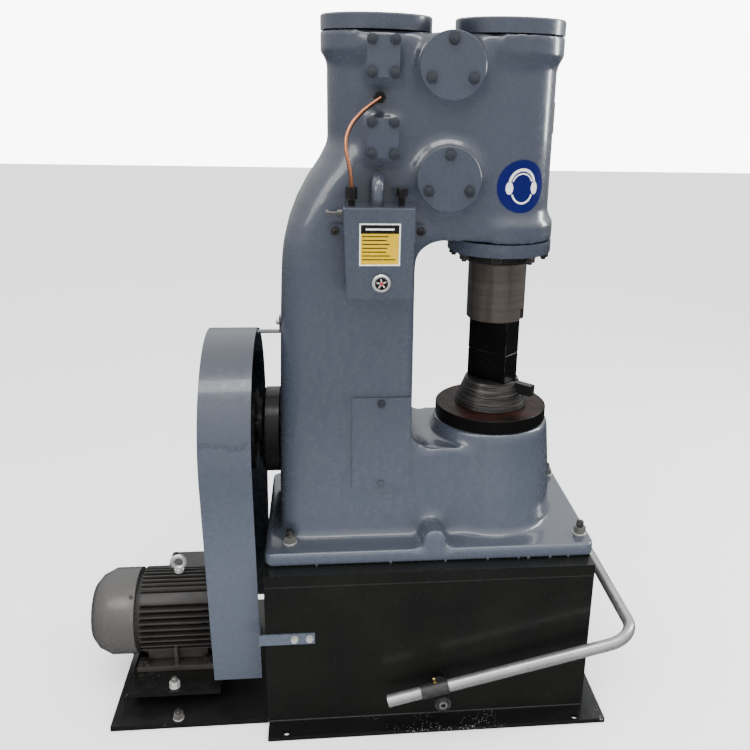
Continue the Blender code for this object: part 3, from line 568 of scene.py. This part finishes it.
# upright studs, each with a washer, a nut and a threaded end
brightSlot = "treadle_pivot_pin_near"
anchorStud = {"washer": 15.5, "washerThick": 2.6, "across": 24.0, "nutHigh": 14.5, "stud": 7.8,
    "studHigh": 30.0}
plateStud = dict(anchorStud, across=20.0, nutHigh=12.0, stud=6.2, studHigh=24.0, washer=12.0)
thread = {"proud": 0.5, "fromNut": 0.0012, "fromEnd": 0.003, "ridge": 0.0009, "pitch": 0.0019}


def studPart(bm, base, look, part):
    place = facing(base, (0, 0, 1), spin())
    nutLow = look["washerThick"] * mm
    nutHigh = nutLow + look["nutHigh"] * mm
    if part == "Washers":
        disc(bm, place, look["washer"] * mm, 0.0002, nutLow, 0.0006)
    elif part == "Nuts":
        hexPrism(bm, place, look["across"] * mm, nutLow, nutHigh, 0.10)
    else:
        top = look["studHigh"] * mm
        disc(bm, place, look["stud"] * mm, nutLow, top, 0.0022)
        ridge = nutHigh + thread["fromNut"]
        while ridge < top - thread["fromEnd"]:
            disc(bm, place, (look["stud"] + thread["proud"]) * mm, ridge, ridge + thread["ridge"], 0.0003)
            ridge += thread["pitch"]


def studGroup(name, places, baseZ, look, materials, studSlot=brightSlot):
    slots = (brightSlot, brightSlot, studSlot)
    for part, material, slot in zip(("Washers", "Nuts", "Studs"), materials, slots):
        bm = bmesh.new()
        for x, y in places:
            base = at(x, y, 0.0)
            base.z = baseZ
            studPart(bm, base, look, part)
        finishPiece(name + part, bm, material)


footStuds = {"xs": (-452.0, 187.0), "y": 147.0, "plateThick": 29.7}
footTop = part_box("frame_casting")[0].z + footStuds["plateThick"] * mm
studGroup("footStud", [(x, y) for x in footStuds["xs"] for y in (-footStuds["y"], footStuds["y"])], footTop,
    anchorStud, (boltZinc, pinSteel, boltBlack), "ram_gland")
print("foot studs made")

# bolts through the motor's feet, and the studs that hold its plate
motorFeet = {"xs": (-788.4, -648.4), "y": 86.0, "pad": 0.0133, "bolt": (0.018, 0.0105, 0.0115),
    "studX": -714.0, "studY": 151.0}
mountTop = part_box("motor_mounting_plate")[1].z
footPlaces = [(Vector((ramX + x * mm, y * mm, mountTop + motorFeet["pad"])), (0, 0, 1), spin())
    for x in motorFeet["xs"] for y in (-motorFeet["y"], motorFeet["y"])]
boltGroup("motorFootBolts", footPlaces, boltBlack, "motor_body", *motorFeet["bolt"])
studGroup("plateStud", [(motorFeet["studX"], y) for y in (-motorFeet["studY"], motorFeet["studY"])],
    mountTop, plateStud, (boltZinc, boltZinc, pinSteel))

# guard bolts, bright zinc
guardBolts = {"strapXs": (-443.0, -411.0), "strap": (0.013, 0.0062, 0.0085),
    "topPlace": (-472.0, 30.0, 845.0), "top": (0.013, 0.0065)}
strapLow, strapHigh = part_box("guard_lower_bracket")
strapPlaces = [(Vector((ramX + x * mm, strapLow.y, 0.5 * (strapLow.z + strapHigh.z))), (0, -1, 0), spin())
    for x in guardBolts["strapXs"]]
boltGroup("guardStrapBolts", strapPlaces, boltZinc, brightSlot, *guardBolts["strap"])
boltGroup("guardTopBolt", [(at(*guardBolts["topPlace"]), (-1, 0, 0), spin())], boltZinc, brightSlot,
    *guardBolts["top"])
print("bolts made")

surfaces = {}


# where a straight line first meets a CAD node, and the face's normal there
def touch(node, start, aim):
    if node not in surfaces:
        mesh = nodes[node].data
        surfaces[node] = BVHTree.FromPolygons([v.co for v in mesh.vertices],
            [p.vertices for p in mesh.polygons])
    point, normal, _, _ = surfaces[node].ray_cast(Vector(start), Vector(aim).normalized())
    if point is None:
        raise ValueError("nothing of " + node + " on that line")
    return point, normal


# thin flat shapes, drawn in millimetres on x and y and bent on to the object afterwards
def flatDisc(bm, centre, radiusX, radiusY, segments=48, rings=7):
    made = bmesh.ops.create_circle(bm, cap_ends=True, cap_tris=True, segments=segments, radius=1.0)
    verts = made["verts"]
    spokes = list({e for v in verts for e in v.link_edges if min(w.co.length for w in e.verts) < 0.5})
    bmesh.ops.subdivide_edges(bm, edges=spokes, cuts=rings, use_grid_fill=True)
    bmesh.ops.transform(bm, verts=bm.verts, matrix=move(centre) @ Matrix.Diagonal((radiusX, radiusY, 1, 1)))


def flatArc(bm, centre, inner, outer, start, end, stretch=1.0, steps=40):
    first = radians(start)
    direction = Vector((cos(first), sin(first), 0.0))
    ends = [bm.verts.new(direction * inner), bm.verts.new(direction * outer)]
    edge = bm.edges.new(ends)
    bmesh.ops.spin(bm, geom=ends + [edge], cent=(0, 0, 0), axis=(0, 0, 1), angle=radians(end - start),
        steps=steps)
    bmesh.ops.transform(bm, verts=bm.verts, matrix=move(centre) @ Matrix.Diagonal((1, stretch, 1, 1)))


# adds one flat shape to the others in a bmesh
def addShape(bm, draw, *values):
    shape = bmesh.new()
    draw(shape, *values)
    mesh = bpy.data.meshes.new("shape")
    shape.to_mesh(mesh)
    shape.free()
    bm.from_mesh(mesh)
    bpy.data.meshes.remove(mesh)


# bends a flat shape round the ram cylinder, and straight on where its wall turns flat
def wrap(bm, middleZ, middleAngle, radius, height):
    for vertex in bm.verts:
        angle = middleAngle + vertex.co.x / radius
        rise = radius + height + vertex.co.z
        flat = min(0.0, angle + 0.5 * pi) * radius
        angle = max(angle, -0.5 * pi)
        vertex.co = at(rise * cos(angle) + flat, rise * sin(angle), middleZ + vertex.co.y)


def thicken(bm, thickness):
    bmesh.ops.recalc_face_normals(bm, faces=bm.faces)
    bmesh.ops.solidify(bm, geom=bm.faces[:], thickness=thickness)


# round blue ear-protection sign on the ram cylinder, and a small plain yellow label further round
cylinderWall = 98.9
earSign = {
    "radius": 52.5, "x": 21.0, "z": 1157.0, "thick": 0.5, "lift": 0.6, "cylinder": 98.0,
    "arcs": ((4, 24.5, 29.5, 12.0, 168.0, 1.08), (2, 20.5, 23.0, 20.0, 160.0, 1.08),
    (-9, 20.0, 23.4, 196.0, 344.0, 1.10)),  # height, inner and outer radius, start, end, stretch
    "cup": (7.5, 12.5), "cupX": 27.0, "cupY": -3.0,
}
signAngle = -acos(earSign["x"] / earSign["cylinder"])
sideLabel = {"z": 1288.0, "angle": -12.0, "width": 36.0, "height": 62.0, "border": 5.0, "thick": 0.4}


def signPart(name, material, draw, lift):
    bm = bmesh.new()
    draw(bm)
    thicken(bm, earSign["thick"])
    wrap(bm, earSign["z"], signAngle, cylinderWall, lift)
    finishPiece(name, bm, material)


def drawDisc(bm):
    flatDisc(bm, (0, 0, 0), earSign["radius"], earSign["radius"], 64, 10)


def drawHeadset(bm):
    for y, inner, outer, start, end, stretch in earSign["arcs"]:
        addShape(bm, flatArc, (0, y, 0), inner, outer, start, end, stretch)
    for x in (earSign["cupX"], -earSign["cupX"]):
        addShape(bm, flatDisc, (x, earSign["cupY"], 0), *earSign["cup"], 24, 2)


signPart("earSignDisc", signBlue, drawDisc, 0.0)
signPart("earSignHeadset", labelWhite, drawHeadset, earSign["lift"])
for name, material, edge, lift in (("sideLabelEdge", labelWhite, 0.0, 0.0),
    ("sideLabelFace", labelYellow, sideLabel["border"], 0.3)):
    bm = bmesh.new()
    bmesh.ops.create_grid(bm, x_segments=12, y_segments=12, size=0.5, matrix=Matrix.Diagonal(
        (sideLabel["width"] - edge, sideLabel["height"] - edge, 1.0, 1.0)))
    thicken(bm, sideLabel["thick"])
    wrap(bm, sideLabel["z"], radians(sideLabel["angle"]), cylinderWall, lift)
    finishPiece(name, bm, material)
print("signs made")

# plain panel on the leaning front of the oil box
boxPanel = {"x": -268.0, "z": 1055.5, "width": 78.0, "height": 83.0, "thick": 0.3, "border": 2.6,
    "header": 17.0, "headerBar": (0.74, 3.4), "bars": 7, "barLengths": (0.62, 0.90), "barThick": 2.1,
    "barPitch": 7.6, "barFirst": 5.5, "barInset": 2.5}
beforeBox = -400.0  # a Y well in front of everything


def onBox(x, z, lift):
    point, normal = touch("oil_box", at(x, beforeBox, z), (0, 1, 0))
    up = Vector((1, 0, 0)).cross(normal) * -1.0
    turn = Matrix((Vector((1, 0, 0)), up, normal)).transposed().to_4x4()
    return move(point + normal * lift * mm) @ turn @ Matrix.Scale(mm, 4)


def boxPart(name, material, panels, lift):
    bm = bmesh.new()
    for width, height, x, z in panels:
        size = Matrix.Diagonal((width, height, boxPanel["thick"], 1))
        bmesh.ops.create_cube(bm, size=1.0, matrix=move((x, z, 0.0)) @ size)
    bmesh.ops.transform(bm, matrix=onBox(boxPanel["x"], boxPanel["z"], lift), verts=bm.verts)
    finishPiece(name, bm, material)


faceWidth = boxPanel["width"] - 2.0 * boxPanel["border"]
faceHeight = boxPanel["height"] - 2.0 * boxPanel["border"]
boxPart("panelEdge", labelWhite, [(boxPanel["width"], boxPanel["height"], 0.0, 0.0)], 0.2)
boxPart("panelFace", labelYellow, [(faceWidth, faceHeight, 0.0, 0.0)], 0.4)
headerZ = 0.5 * (faceHeight - boxPanel["header"])
barRandom = random.Random(4)
bars = []
for i in range(boxPanel["bars"]):
    length = barRandom.uniform(*boxPanel["barLengths"]) * faceWidth
    z = headerZ - 0.5 * boxPanel["header"] - boxPanel["barFirst"] - i * boxPanel["barPitch"]
    bars.append((length, boxPanel["barThick"], -0.5 * (faceWidth - length) + boxPanel["barInset"], z))
boxPart("panelBars", printAndShadeBlack, [(faceWidth, boxPanel["header"], 0.0, headerZ)] + bars, 0.6)
barShare, barThick = boxPanel["headerBar"]
boxPart("panelHeaderBar", labelWhite, [(faceWidth * barShare, barThick, 0.0, headerZ)], 0.8)

# sight glass: a dark window with a pale star and a red hub
sight = {"window": 12.6, "spokes": 5, "spokeLong": 8.6, "spokeWide": 2.6, "turn": 0.4, "hub": 3.4}
glassLow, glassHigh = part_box("oil_sight_glass")
glassPlace = facing(*touch("oil_sight_glass", (0.5 * (glassLow.x + glassHigh.x), beforeBox * mm,
    0.5 * (glassLow.z + glassHigh.z)), (0, 1, 0)))
bm = bmesh.new()
disc(bm, glassPlace, sight["window"] * mm, contact, 0.0008, 0.0002, 40)
finishPiece("sightWindow", bm, printAndShadeBlack)
bm = bmesh.new()
spoke = (move((0.62 * sight["spokeLong"] * mm, 0, 0.0010))
    @ Matrix.Diagonal((sight["spokeLong"] * mm, sight["spokeWide"] * mm, 0.0006, 1.0)))
for i in range(sight["spokes"]):
    turn = Matrix.Rotation(2.0 * pi * i / sight["spokes"] + sight["turn"], 4, "Z")
    bmesh.ops.create_cube(bm, size=1.0, matrix=glassPlace @ turn @ spoke)
finishPiece("sightStar", bm, starPale)
bm = bmesh.new()
disc(bm, glassPlace, sight["hub"] * mm, 0.0010, 0.0020, 0.0005, 24)
finishPiece("sightHub", bm, starRed)

# bolts through the lugs of the oil box
lugBolts = {"xs": (-352.0, -182.0), "z": 1070.0, "bolt": (0.013, 0.007, 0.009)}
lugPlaces = [(*touch("oil_box", at(x, beforeBox, lugBolts["z"]), (0, 1, 0)), spin()) for x in lugBolts["xs"]]
boltGroup("oilBoxLugBolts", lugPlaces, boltBlack, "oil_flow_screw", *lugBolts["bolt"])
print("oil box finished")

# brass grease nipples and end rings on the treadle clamps, and flat black hexes on the pins' ends, painted
# shade where each socket is
nipple = {"x": -17.0, "y": 290.0, "hex": 0.0072, "stem": (2.6, 9.0), "ball": 3.7, "ballZ": 0.0105}
clampFace = {"ring": (12.2, 17.6), "proud": 1.6, "socket": 9.0}
pinLow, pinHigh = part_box("treadle_pivot_pin_near")
pivotX, pivotZ = 0.5 * (pinLow.x + pinHigh.x), 0.5 * (pinLow.z + pinHigh.z)
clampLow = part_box("treadle_clamp_near")[0]


# a flat ring round the pin, raised from the clamp's end
def clampRing(bm, place):
    inner, outer = clampFace["ring"]
    made = bmesh.ops.create_circle(bm, segments=40, radius=outer * mm)
    face = bm.faces.new(made["verts"])
    bmesh.ops.inset_individual(bm, faces=[face], thickness=(outer - inner) * mm)
    bmesh.ops.delete(bm, geom=[f for f in bm.faces if len(f.verts) > 4], context="FACES_ONLY")
    raised = bmesh.ops.extrude_face_region(bm, geom=bm.faces[:])
    bmesh.ops.translate(bm, verts=[v for v in raised["geom"] if isinstance(v, bmesh.types.BMVert)],
        vec=(0, 0, clampFace["proud"] * mm))
    bmesh.ops.transform(bm, matrix=place @ move((0, 0, contact)), verts=bm.verts)


for side, word in ((-1.0, "Near"), (1.0, "Far")):
    top = touch("treadle_clamp_" + word.lower(),
        (pivotX + nipple["x"] * mm, side * nipple["y"] * mm, 0.4), (0, 0, -1))
    place = facing(*top)
    stemRadius, stemTop = nipple["stem"]
    bm = bmesh.new()
    hexPrism(bm, place, nipple["hex"], contact, 0.0030)
    disc(bm, place, stemRadius * mm, 0.0028, stemTop * mm, 0.0, 16)
    ball = place @ move((0, 0, nipple["ballZ"])) @ Matrix.Diagonal((1, 1, 0.8, 1))
    bmesh.ops.create_uvsphere(bm, u_segments=16, v_segments=10, radius=nipple["ball"] * mm, matrix=ball)
    finishPiece("greaseNipple" + word, bm, brass, "treadle_body")
    bm = bmesh.new()
    clampRing(bm, facing((pivotX, side * abs(clampLow.y), pivotZ), (0, side, 0)))
    finishPiece("clampRing" + word, bm, clampIron, "treadle_body")
    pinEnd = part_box("treadle_pivot_pin_" + word.lower())[0 if side < 0 else 1].y
    # painted shade: a thin black hex stands in for the socket recess in the pin's end
    bm = bmesh.new()
    hexPrism(bm, facing((pivotX, pinEnd, pivotZ), (0, side, 0), 0.3), clampFace["socket"] * mm, contact,
        0.0005, 0.02)
    finishPiece("pinSocketShade" + word, bm, printAndShadeBlack)
print("treadle clamps finished")

# ribbed motor housing with parallel side and top fins, in place of the plain one
motor = {
    "axis": 150.0, "rear": -797.0, "front": -632.0, "core": 81.0,
    "coreRear": -807.2, "coreLong": 0.150,
    "tip": 98.0, "thick": 3.4, "sunk": 4.0,
    "side": (62.0, 50.0, 37.0, 24.0, 9.0, -7.0, -22.0, -39.0, -54.0),
    "top": (0.0, 13.0, 25.0, 36.0, 46.0),
    "pad": {"x": -714.0, "angle": 43.0, "reach": 0.0885, "size": (0.163, 0.026, 0.014)},
    "foot": -100.0,
    # two corners each of a foot's sole, leg and web: x, distance from the middle, height
    "feet": (((-806.0, 60.0, 0.0), (-630.0, 100.0, 13.0)), ((-786.0, 52.0, 0.0), (-650.0, 68.0, 60.0)),
    ((-722.0, 52.0, 0.0), (-714.0, 96.0, 60.0))),
    "shieldX": -640.0, "shield": (0.094, 0.0, 0.015, 0.002, 64), "nose": (0.090, 0.030), "noseLong": 0.0195,
    "noseX": 0.0245,
}


# a box between two corners, in any order, with its edges rounded
def finBar(bm, first, second, bevel=0.9):
    middle = (first + second) * 0.5
    size = [abs(span) for span in second - first]
    made = bmesh.ops.create_cube(bm, size=1.0, matrix=move(middle) @ Matrix.Diagonal((*size, 1.0)))
    bevelEdges(bm, {e for v in made["verts"] for e in v.link_edges}, bevel * mm)


def motorPoint(x, y, z):
    return at(x, y, motor["axis"] + z)


# where a fin at this distance from the middle starts and ends
def finReach(offset):
    return sqrt(motor["core"] ** 2 - offset ** 2) - motor["sunk"], sqrt(motor["tip"] ** 2 - offset ** 2)


bm = bmesh.new()
disc(bm, facing(motorPoint(motor["coreRear"], 0, 0), (1, 0, 0)), motor["core"] * mm, 0.0,
    motor["coreLong"], 0.0, 72)
rear, front, half = motor["rear"], motor["front"], 0.5 * motor["thick"]
for z in motor["side"]:
    root, reach = finReach(z)
    for sign in (-1.0, 1.0):
        finBar(bm, motorPoint(rear, sign * root, z - half), motorPoint(front, sign * reach, z + half))
for offset in motor["top"]:
    root, reach = finReach(offset)
    for y in ((-offset, offset) if offset else (0.0,)):
        finBar(bm, motorPoint(rear, y - half, root), motorPoint(front, y + half, reach))
        finBar(bm, motorPoint(rear, y - half, -reach), motorPoint(front, y + half, -root))
pad = motor["pad"]
for sign in (-1.0, 1.0):
    # flat pads on the shoulders, where the terminal box could be moved to
    place = (move(motorPoint(pad["x"], 0, 0))
        @ Matrix.Rotation(radians(sign * pad["angle"]), 4, "X")
        @ move((0, 0, pad["reach"])) @ Matrix.Diagonal((*pad["size"], 1.0)))
    made = bmesh.ops.create_cube(bm, size=1.0, matrix=place)
    bevelEdges(bm, {e for v in made["verts"] for e in v.link_edges}, 0.0015)
    for (lowX, near, lowZ), (highX, away, highZ) in motor["feet"]:
        finBar(bm, motorPoint(lowX, sign * near, motor["foot"] + lowZ),
            motorPoint(highX, sign * away, motor["foot"] + highZ), 2.0)
shield = facing(motorPoint(motor["shieldX"], 0, 0), (1, 0, 0))
disc(bm, shield, *motor["shield"])
wide, narrow = motor["nose"]
bmesh.ops.create_cone(bm, cap_ends=True, segments=64, radius1=wide, radius2=narrow, depth=motor["noseLong"],
    matrix=shield @ move((0, 0, motor["noseX"])))
motorHousing = finishPiece("motorHousing", bm, motorPaint)
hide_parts("motor_body")

# a ring grille and screws on the fan cover, and screws on the terminal box; the grille is flat black rings,
# painted shade for its openings
fan = {"end": -907.5, "rings": (18.0, 28.0, 38.0, 48.0, 58.0), "ringHalf": 2.4, "sunk": 0.0002,
    "screwX": -815.0, "screwAngles": (40.0, 130.0, 220.0, 310.0), "screw": (0.008, 0.0035)}
terminalScrews = {"inset": 0.009, "screw": (0.007, 0.003)}
bm = bmesh.new()
# painted shade: each black ring stands where an opening of the grille would show dark
for radius in fan["rings"]:
    addShape(bm, flatArc, (0, 0, 0), radius - fan["ringHalf"], radius + fan["ringHalf"], 0.0, 356.0, 1.0, 48)
endPlace = facing(motorPoint(fan["end"], 0, 0), (-1, 0, 0))
bmesh.ops.transform(bm, verts=bm.verts, matrix=endPlace @ move((0, 0, -fan["sunk"])) @ Matrix.Scale(mm, 4))
thicken(bm, 0.0003)
finishPiece("fanGrilleShade", bm, printAndShadeBlack)
screwPlaces = []
for angle in fan["screwAngles"]:
    aim = Vector((0, cos(radians(angle)), sin(radians(angle))))
    point = touch("motor_fan_cover", motorPoint(fan["screwX"], 0, 0) + aim * 0.3, -aim)[0]
    screwPlaces.append((point, aim, spin()))
boltGroup("fanCoverScrews", screwPlaces, boltBlack, "motor_body", *fan["screw"])
lowBox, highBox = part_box("motor_terminal_box")
inset = terminalScrews["inset"]
terminalPlaces = [(Vector((x, y, highBox.z)), (0, 0, 1), spin())
    for x in (lowBox.x + inset, highBox.x - inset)
    for y in (lowBox.y + inset, highBox.y - inset)]
boltGroup("terminalBoxScrews", terminalPlaces, boltBlack, "motor_body", *terminalScrews["screw"])
print("motor finished")

# hold-down nuts on the floor plate
floorStuds = {"x": -699.0, "y": 208.0}
studGroup("floorStud", [(floorStuds["x"], y) for y in (-floorStuds["y"], floorStuds["y"])],
    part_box("motor_floor_plate")[1].z, plateStud, (boltZinc, pinSteel, boltBlack))


# a lumpy run of weld or thick paint, closed round its seam and drawn to a point at both ends
def bead(bm, points, step, radius, flatten, seed, scatter=0.25):
    chance = random.Random(seed)
    for start, end in zip(points, points[1:]):
        run = end - start
        lumps = max(2, int(run.length / (step * mm)))
        sizes = [radius * mm * (1.0 + chance.uniform(-scatter, scatter)) for _ in range(lumps)]
        turn = run.to_track_quat("X", "Z").to_matrix()
        made = bmesh.ops.create_grid(bm, x_segments=4 * lumps, y_segments=8, size=0.5)
        for vertex in made["verts"]:
            along, angle = vertex.co.x + 0.5, vertex.co.y * 2.0 * pi
            lump = min(int(along * lumps), lumps - 1)
            size = sizes[lump] * (0.72 + 0.28 * abs(sin(pi * along * lumps)))
            size *= min(1.0, 2.0 * along * lumps, 2.0 * (1.0 - along) * lumps)
            vertex.co = start + turn @ Vector((along * run.length, size * flatten[0] * cos(angle),
                size * flatten[1] * sin(angle)))


# welds round the foot of the stand and under its top
welds = {"foot": (4.2, 3.4, (1.0, 0.8)), "seam": (7.0, 3.2, (0.30, 0.8)), "seamBelow": 0.028}
standLow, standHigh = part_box("stand_box")
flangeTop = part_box("stand_base_flange")[1].z
corners = ((standLow.x, standLow.y), (standHigh.x, standLow.y), (standHigh.x, standHigh.y),
    (standLow.x, standHigh.y), (standLow.x, standLow.y))
for name, look, z, seed in (("standFootWeld", "foot", flangeTop, 21),
    ("standTopSeam", "seam", standHigh.z - welds["seamBelow"], 22)):
    bm = bmesh.new()
    bead(bm, [Vector((x, y, z)) for x, y in corners], *welds[look], seed)
    finishPiece(name, bm, standPaint, sharp=80.0)

# paint runs along the lower edge of the foot plate
paintRuns = {"xs": (-395.0, -238.0, -120.0, -28.0, 40.0, 62.0, 110.0, 150.0), "size": (2.4, 4.4),
    "rise": (0.4, 3.0), "proud": 0.0006}
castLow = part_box("frame_casting")[0]
runRandom = random.Random(31)
bm = bmesh.new()
for x in paintRuns["xs"]:
    size = runRandom.uniform(*paintRuns["size"]) * mm
    centre = Vector((ramX + x * mm, castLow.y + paintRuns["proud"],
        castLow.z + runRandom.uniform(*paintRuns["rise"]) * mm))
    bmesh.ops.create_uvsphere(bm, u_segments=10, v_segments=7, radius=size,
        matrix=move(centre) @ Matrix.Diagonal((1.0, 0.35, 1.25, 1.0)))
finishPiece("footPaintRuns", bm, greyPaint, sharp=80.0)

# a brushed ridge of paint across the guard
ridgeRoute = ((-622.0, 662.0), (-600.0, 664.0), (-590.0, 659.0), (-571.0, 663.0), (-562.0, 653.0),
    (-548.0, 657.0), (-536.0, 655.0), (-526.0, 668.0))
ridge = [touch("belt_guard", at(x, -500.0, z), (0, 1, 0))[0] for x, z in ridgeRoute]
bm = bmesh.new()
bead(bm, ridge, 3.0, 4.6, (0.22, 1.0), 33, 0.5)
finishPiece("guardPaintRidge", bm, sheetPaint, sharp=80.0)

# recessed socket screws in the tops of the cylinder covers, each socket drawn as a thin black hex of painted
# shade
topScrew = {"cylinders": (-267.0, 0.0), "ring": 88.0, "count": 8, "head": 9.0, "socket": 10.0}
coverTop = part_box("ram_cylinder_cover")[1].z
bm = bmesh.new()
socketShades = bmesh.new()
for x in topScrew["cylinders"]:
    for i in range(topScrew["count"]):
        angle = 2.0 * pi * (i + 0.5) / topScrew["count"]
        centre = at(x + topScrew["ring"] * cos(angle), topScrew["ring"] * sin(angle), 0.0)
        centre.z = coverTop
        place = facing(centre, (0, 0, 1), spin())
        disc(bm, place, topScrew["head"] * mm, -0.002, 0.0003, 0.0002, 28)
        # painted shade: the black hex stands in for the recess of the socket
        hexPrism(socketShades, place, topScrew["socket"] * mm, 0.0, 0.0005, 0.01)
finishPiece("coverTopScrews", bm, boltBlack)
finishPiece("coverTopSockets", socketShades, printAndShadeBlack)
print("small details made")

# seen from in front, looking slightly down and to the right
view = {"lens": 40.205, "pitch": 17.622, "yaw": 6.361, "roll": 1.383, "fromRam": -375.65, "y": -1.7523,
    "z": 1.3523, "shiftX": -0.05024, "shiftY": -0.03674}
camera = bpy.data.objects.new("camera", bpy.data.cameras.new("camera"))
bpy.context.scene.collection.objects.link(camera)
camera.data.lens = view["lens"]
camera.data.sensor_width = 36.0
camera.data.shift_x = view["shiftX"]
camera.data.shift_y = view["shiftY"]
camera.data.clip_start = 0.05
camera.matrix_world = (
    move((ramX + view["fromRam"] * mm, view["y"], view["z"]))
    @ Matrix.Rotation(radians(-view["yaw"]), 4, "Z")
    @ Matrix.Rotation(radians(90.0 - view["pitch"]), 4, "X")
    @ Matrix.Rotation(radians(view["roll"]), 4, "Z")
)
bpy.context.scene.camera = camera

# soft lamps; the low one lights the black stand without showing in its gloss
lamps = {
    "keyLeft": {"from": (-2.2, -2.2, 3.0), "to": (0.0, 0.0, 0.9), "size": (1.6, 1.6), "power": 40.0,
    "colour": (1.0, 0.99, 0.97)},
    "topStrip": {"from": (0.3, -0.9, 3.4), "to": (0.1, 0.0, 1.0), "size": (2.4, 0.7), "power": 45.0,
    "colour": (1.0, 1.0, 1.0)},
    "rimRight": {"from": (2.6, 0.5, 1.9), "to": (0.2, 0.0, 0.8), "size": (0.5, 1.8), "power": 55.0,
    "colour": (0.97, 0.99, 1.0)},
    "lowFill": {"from": (0.1, -1.9, 0.30), "to": (0.0, 0.0, 0.22), "size": (2.4, 0.5), "power": 58.0,
    "colour": (1.0, 1.0, 1.0), "glossy": False},
}
for name, look in lamps.items():
    lamp = bpy.data.objects.new(name, bpy.data.lights.new(name, "AREA"))
    bpy.context.scene.collection.objects.link(lamp)
    lamp.data.shape = "RECTANGLE"
    lamp.data.size, lamp.data.size_y = look["size"]
    lamp.data.energy = look["power"]
    lamp.data.color = look["colour"]
    lamp.visible_glossy = look.get("glossy", True)
    lamp.visible_camera = False
    lamp.location = look["from"]
    aim = Vector(look["to"]) - Vector(look["from"])
    lamp.rotation_euler = aim.to_track_quat("-Z", "Y").to_euler()

# bright overhead, dimmer round the horizon, and plain white where the camera sees past the floor
sky = {"backdrop": 9.0, "overhead": 2.05, "below": 0.05}
world = bpy.data.worlds.new("studio")
bpy.context.scene.world = world
world.use_nodes = True
worldNodes, worldLinks = world.node_tree.nodes, world.node_tree.links
direction = worldNodes.new("ShaderNodeTexCoord").outputs["Generated"]
split = worldNodes.new("ShaderNodeSeparateXYZ")
worldLinks.new(direction, split.inputs["Vector"])
rise = worldNodes.new("ShaderNodeMapRange")
for socket, number in (("From Min", -0.25), ("From Max", 0.75), ("To Min", sky["below"]),
    ("To Max", sky["overhead"])):
    rise.inputs[socket].default_value = number
worldLinks.new(split.outputs["Z"], rise.inputs["Value"])
lighting = worldNodes["Background"]
worldLinks.new(rise.outputs["Result"], lighting.inputs["Strength"])
lighting.inputs["Color"].default_value = (0.97, 0.985, 1.0, 1.0)
backdrop = worldNodes.new("ShaderNodeBackground")
backdrop.inputs["Color"].default_value = (1.0, 1.0, 1.0, 1.0)
backdrop.inputs["Strength"].default_value = sky["backdrop"]
seen = worldNodes.new("ShaderNodeMixShader")
worldLinks.new(worldNodes.new("ShaderNodeLightPath").outputs["Is Camera Ray"], seen.inputs["Fac"])
worldLinks.new(lighting.outputs["Background"], seen.inputs[1])
worldLinks.new(backdrop.outputs["Background"], seen.inputs[2])
worldLinks.new(seen.outputs["Shader"], worldNodes["World Output"].inputs["Surface"])

# plain pale floor
floorLook = {"half": 12.0, "colour": (0.92, 0.92, 0.92, 1.0), "roughness": 0.6, "glow": 0.45, "below": 0.001}
bm = bmesh.new()
bmesh.ops.create_grid(bm, x_segments=1, y_segments=1, size=floorLook["half"])
floor = linked("floor", bm)
paleFloor = bpy.data.materials.new("paleFloor")
paleFloor.use_nodes = True
floorSurface = paleFloor.node_tree.nodes["Principled BSDF"].inputs
floorSurface["Base Color"].default_value = floorLook["colour"]
floorSurface["Roughness"].default_value = floorLook["roughness"]
floorSurface["Emission Strength"].default_value = floorLook["glow"]
floorSurface["Emission Color"].default_value = (1.0, 1.0, 1.0, 1.0)
floor.data.materials.append(paleFloor)
floor.location.z = -floorLook["below"]
floor.visible_glossy = False  # glossy faces show the dim lower half of the studio instead
print("studio made")
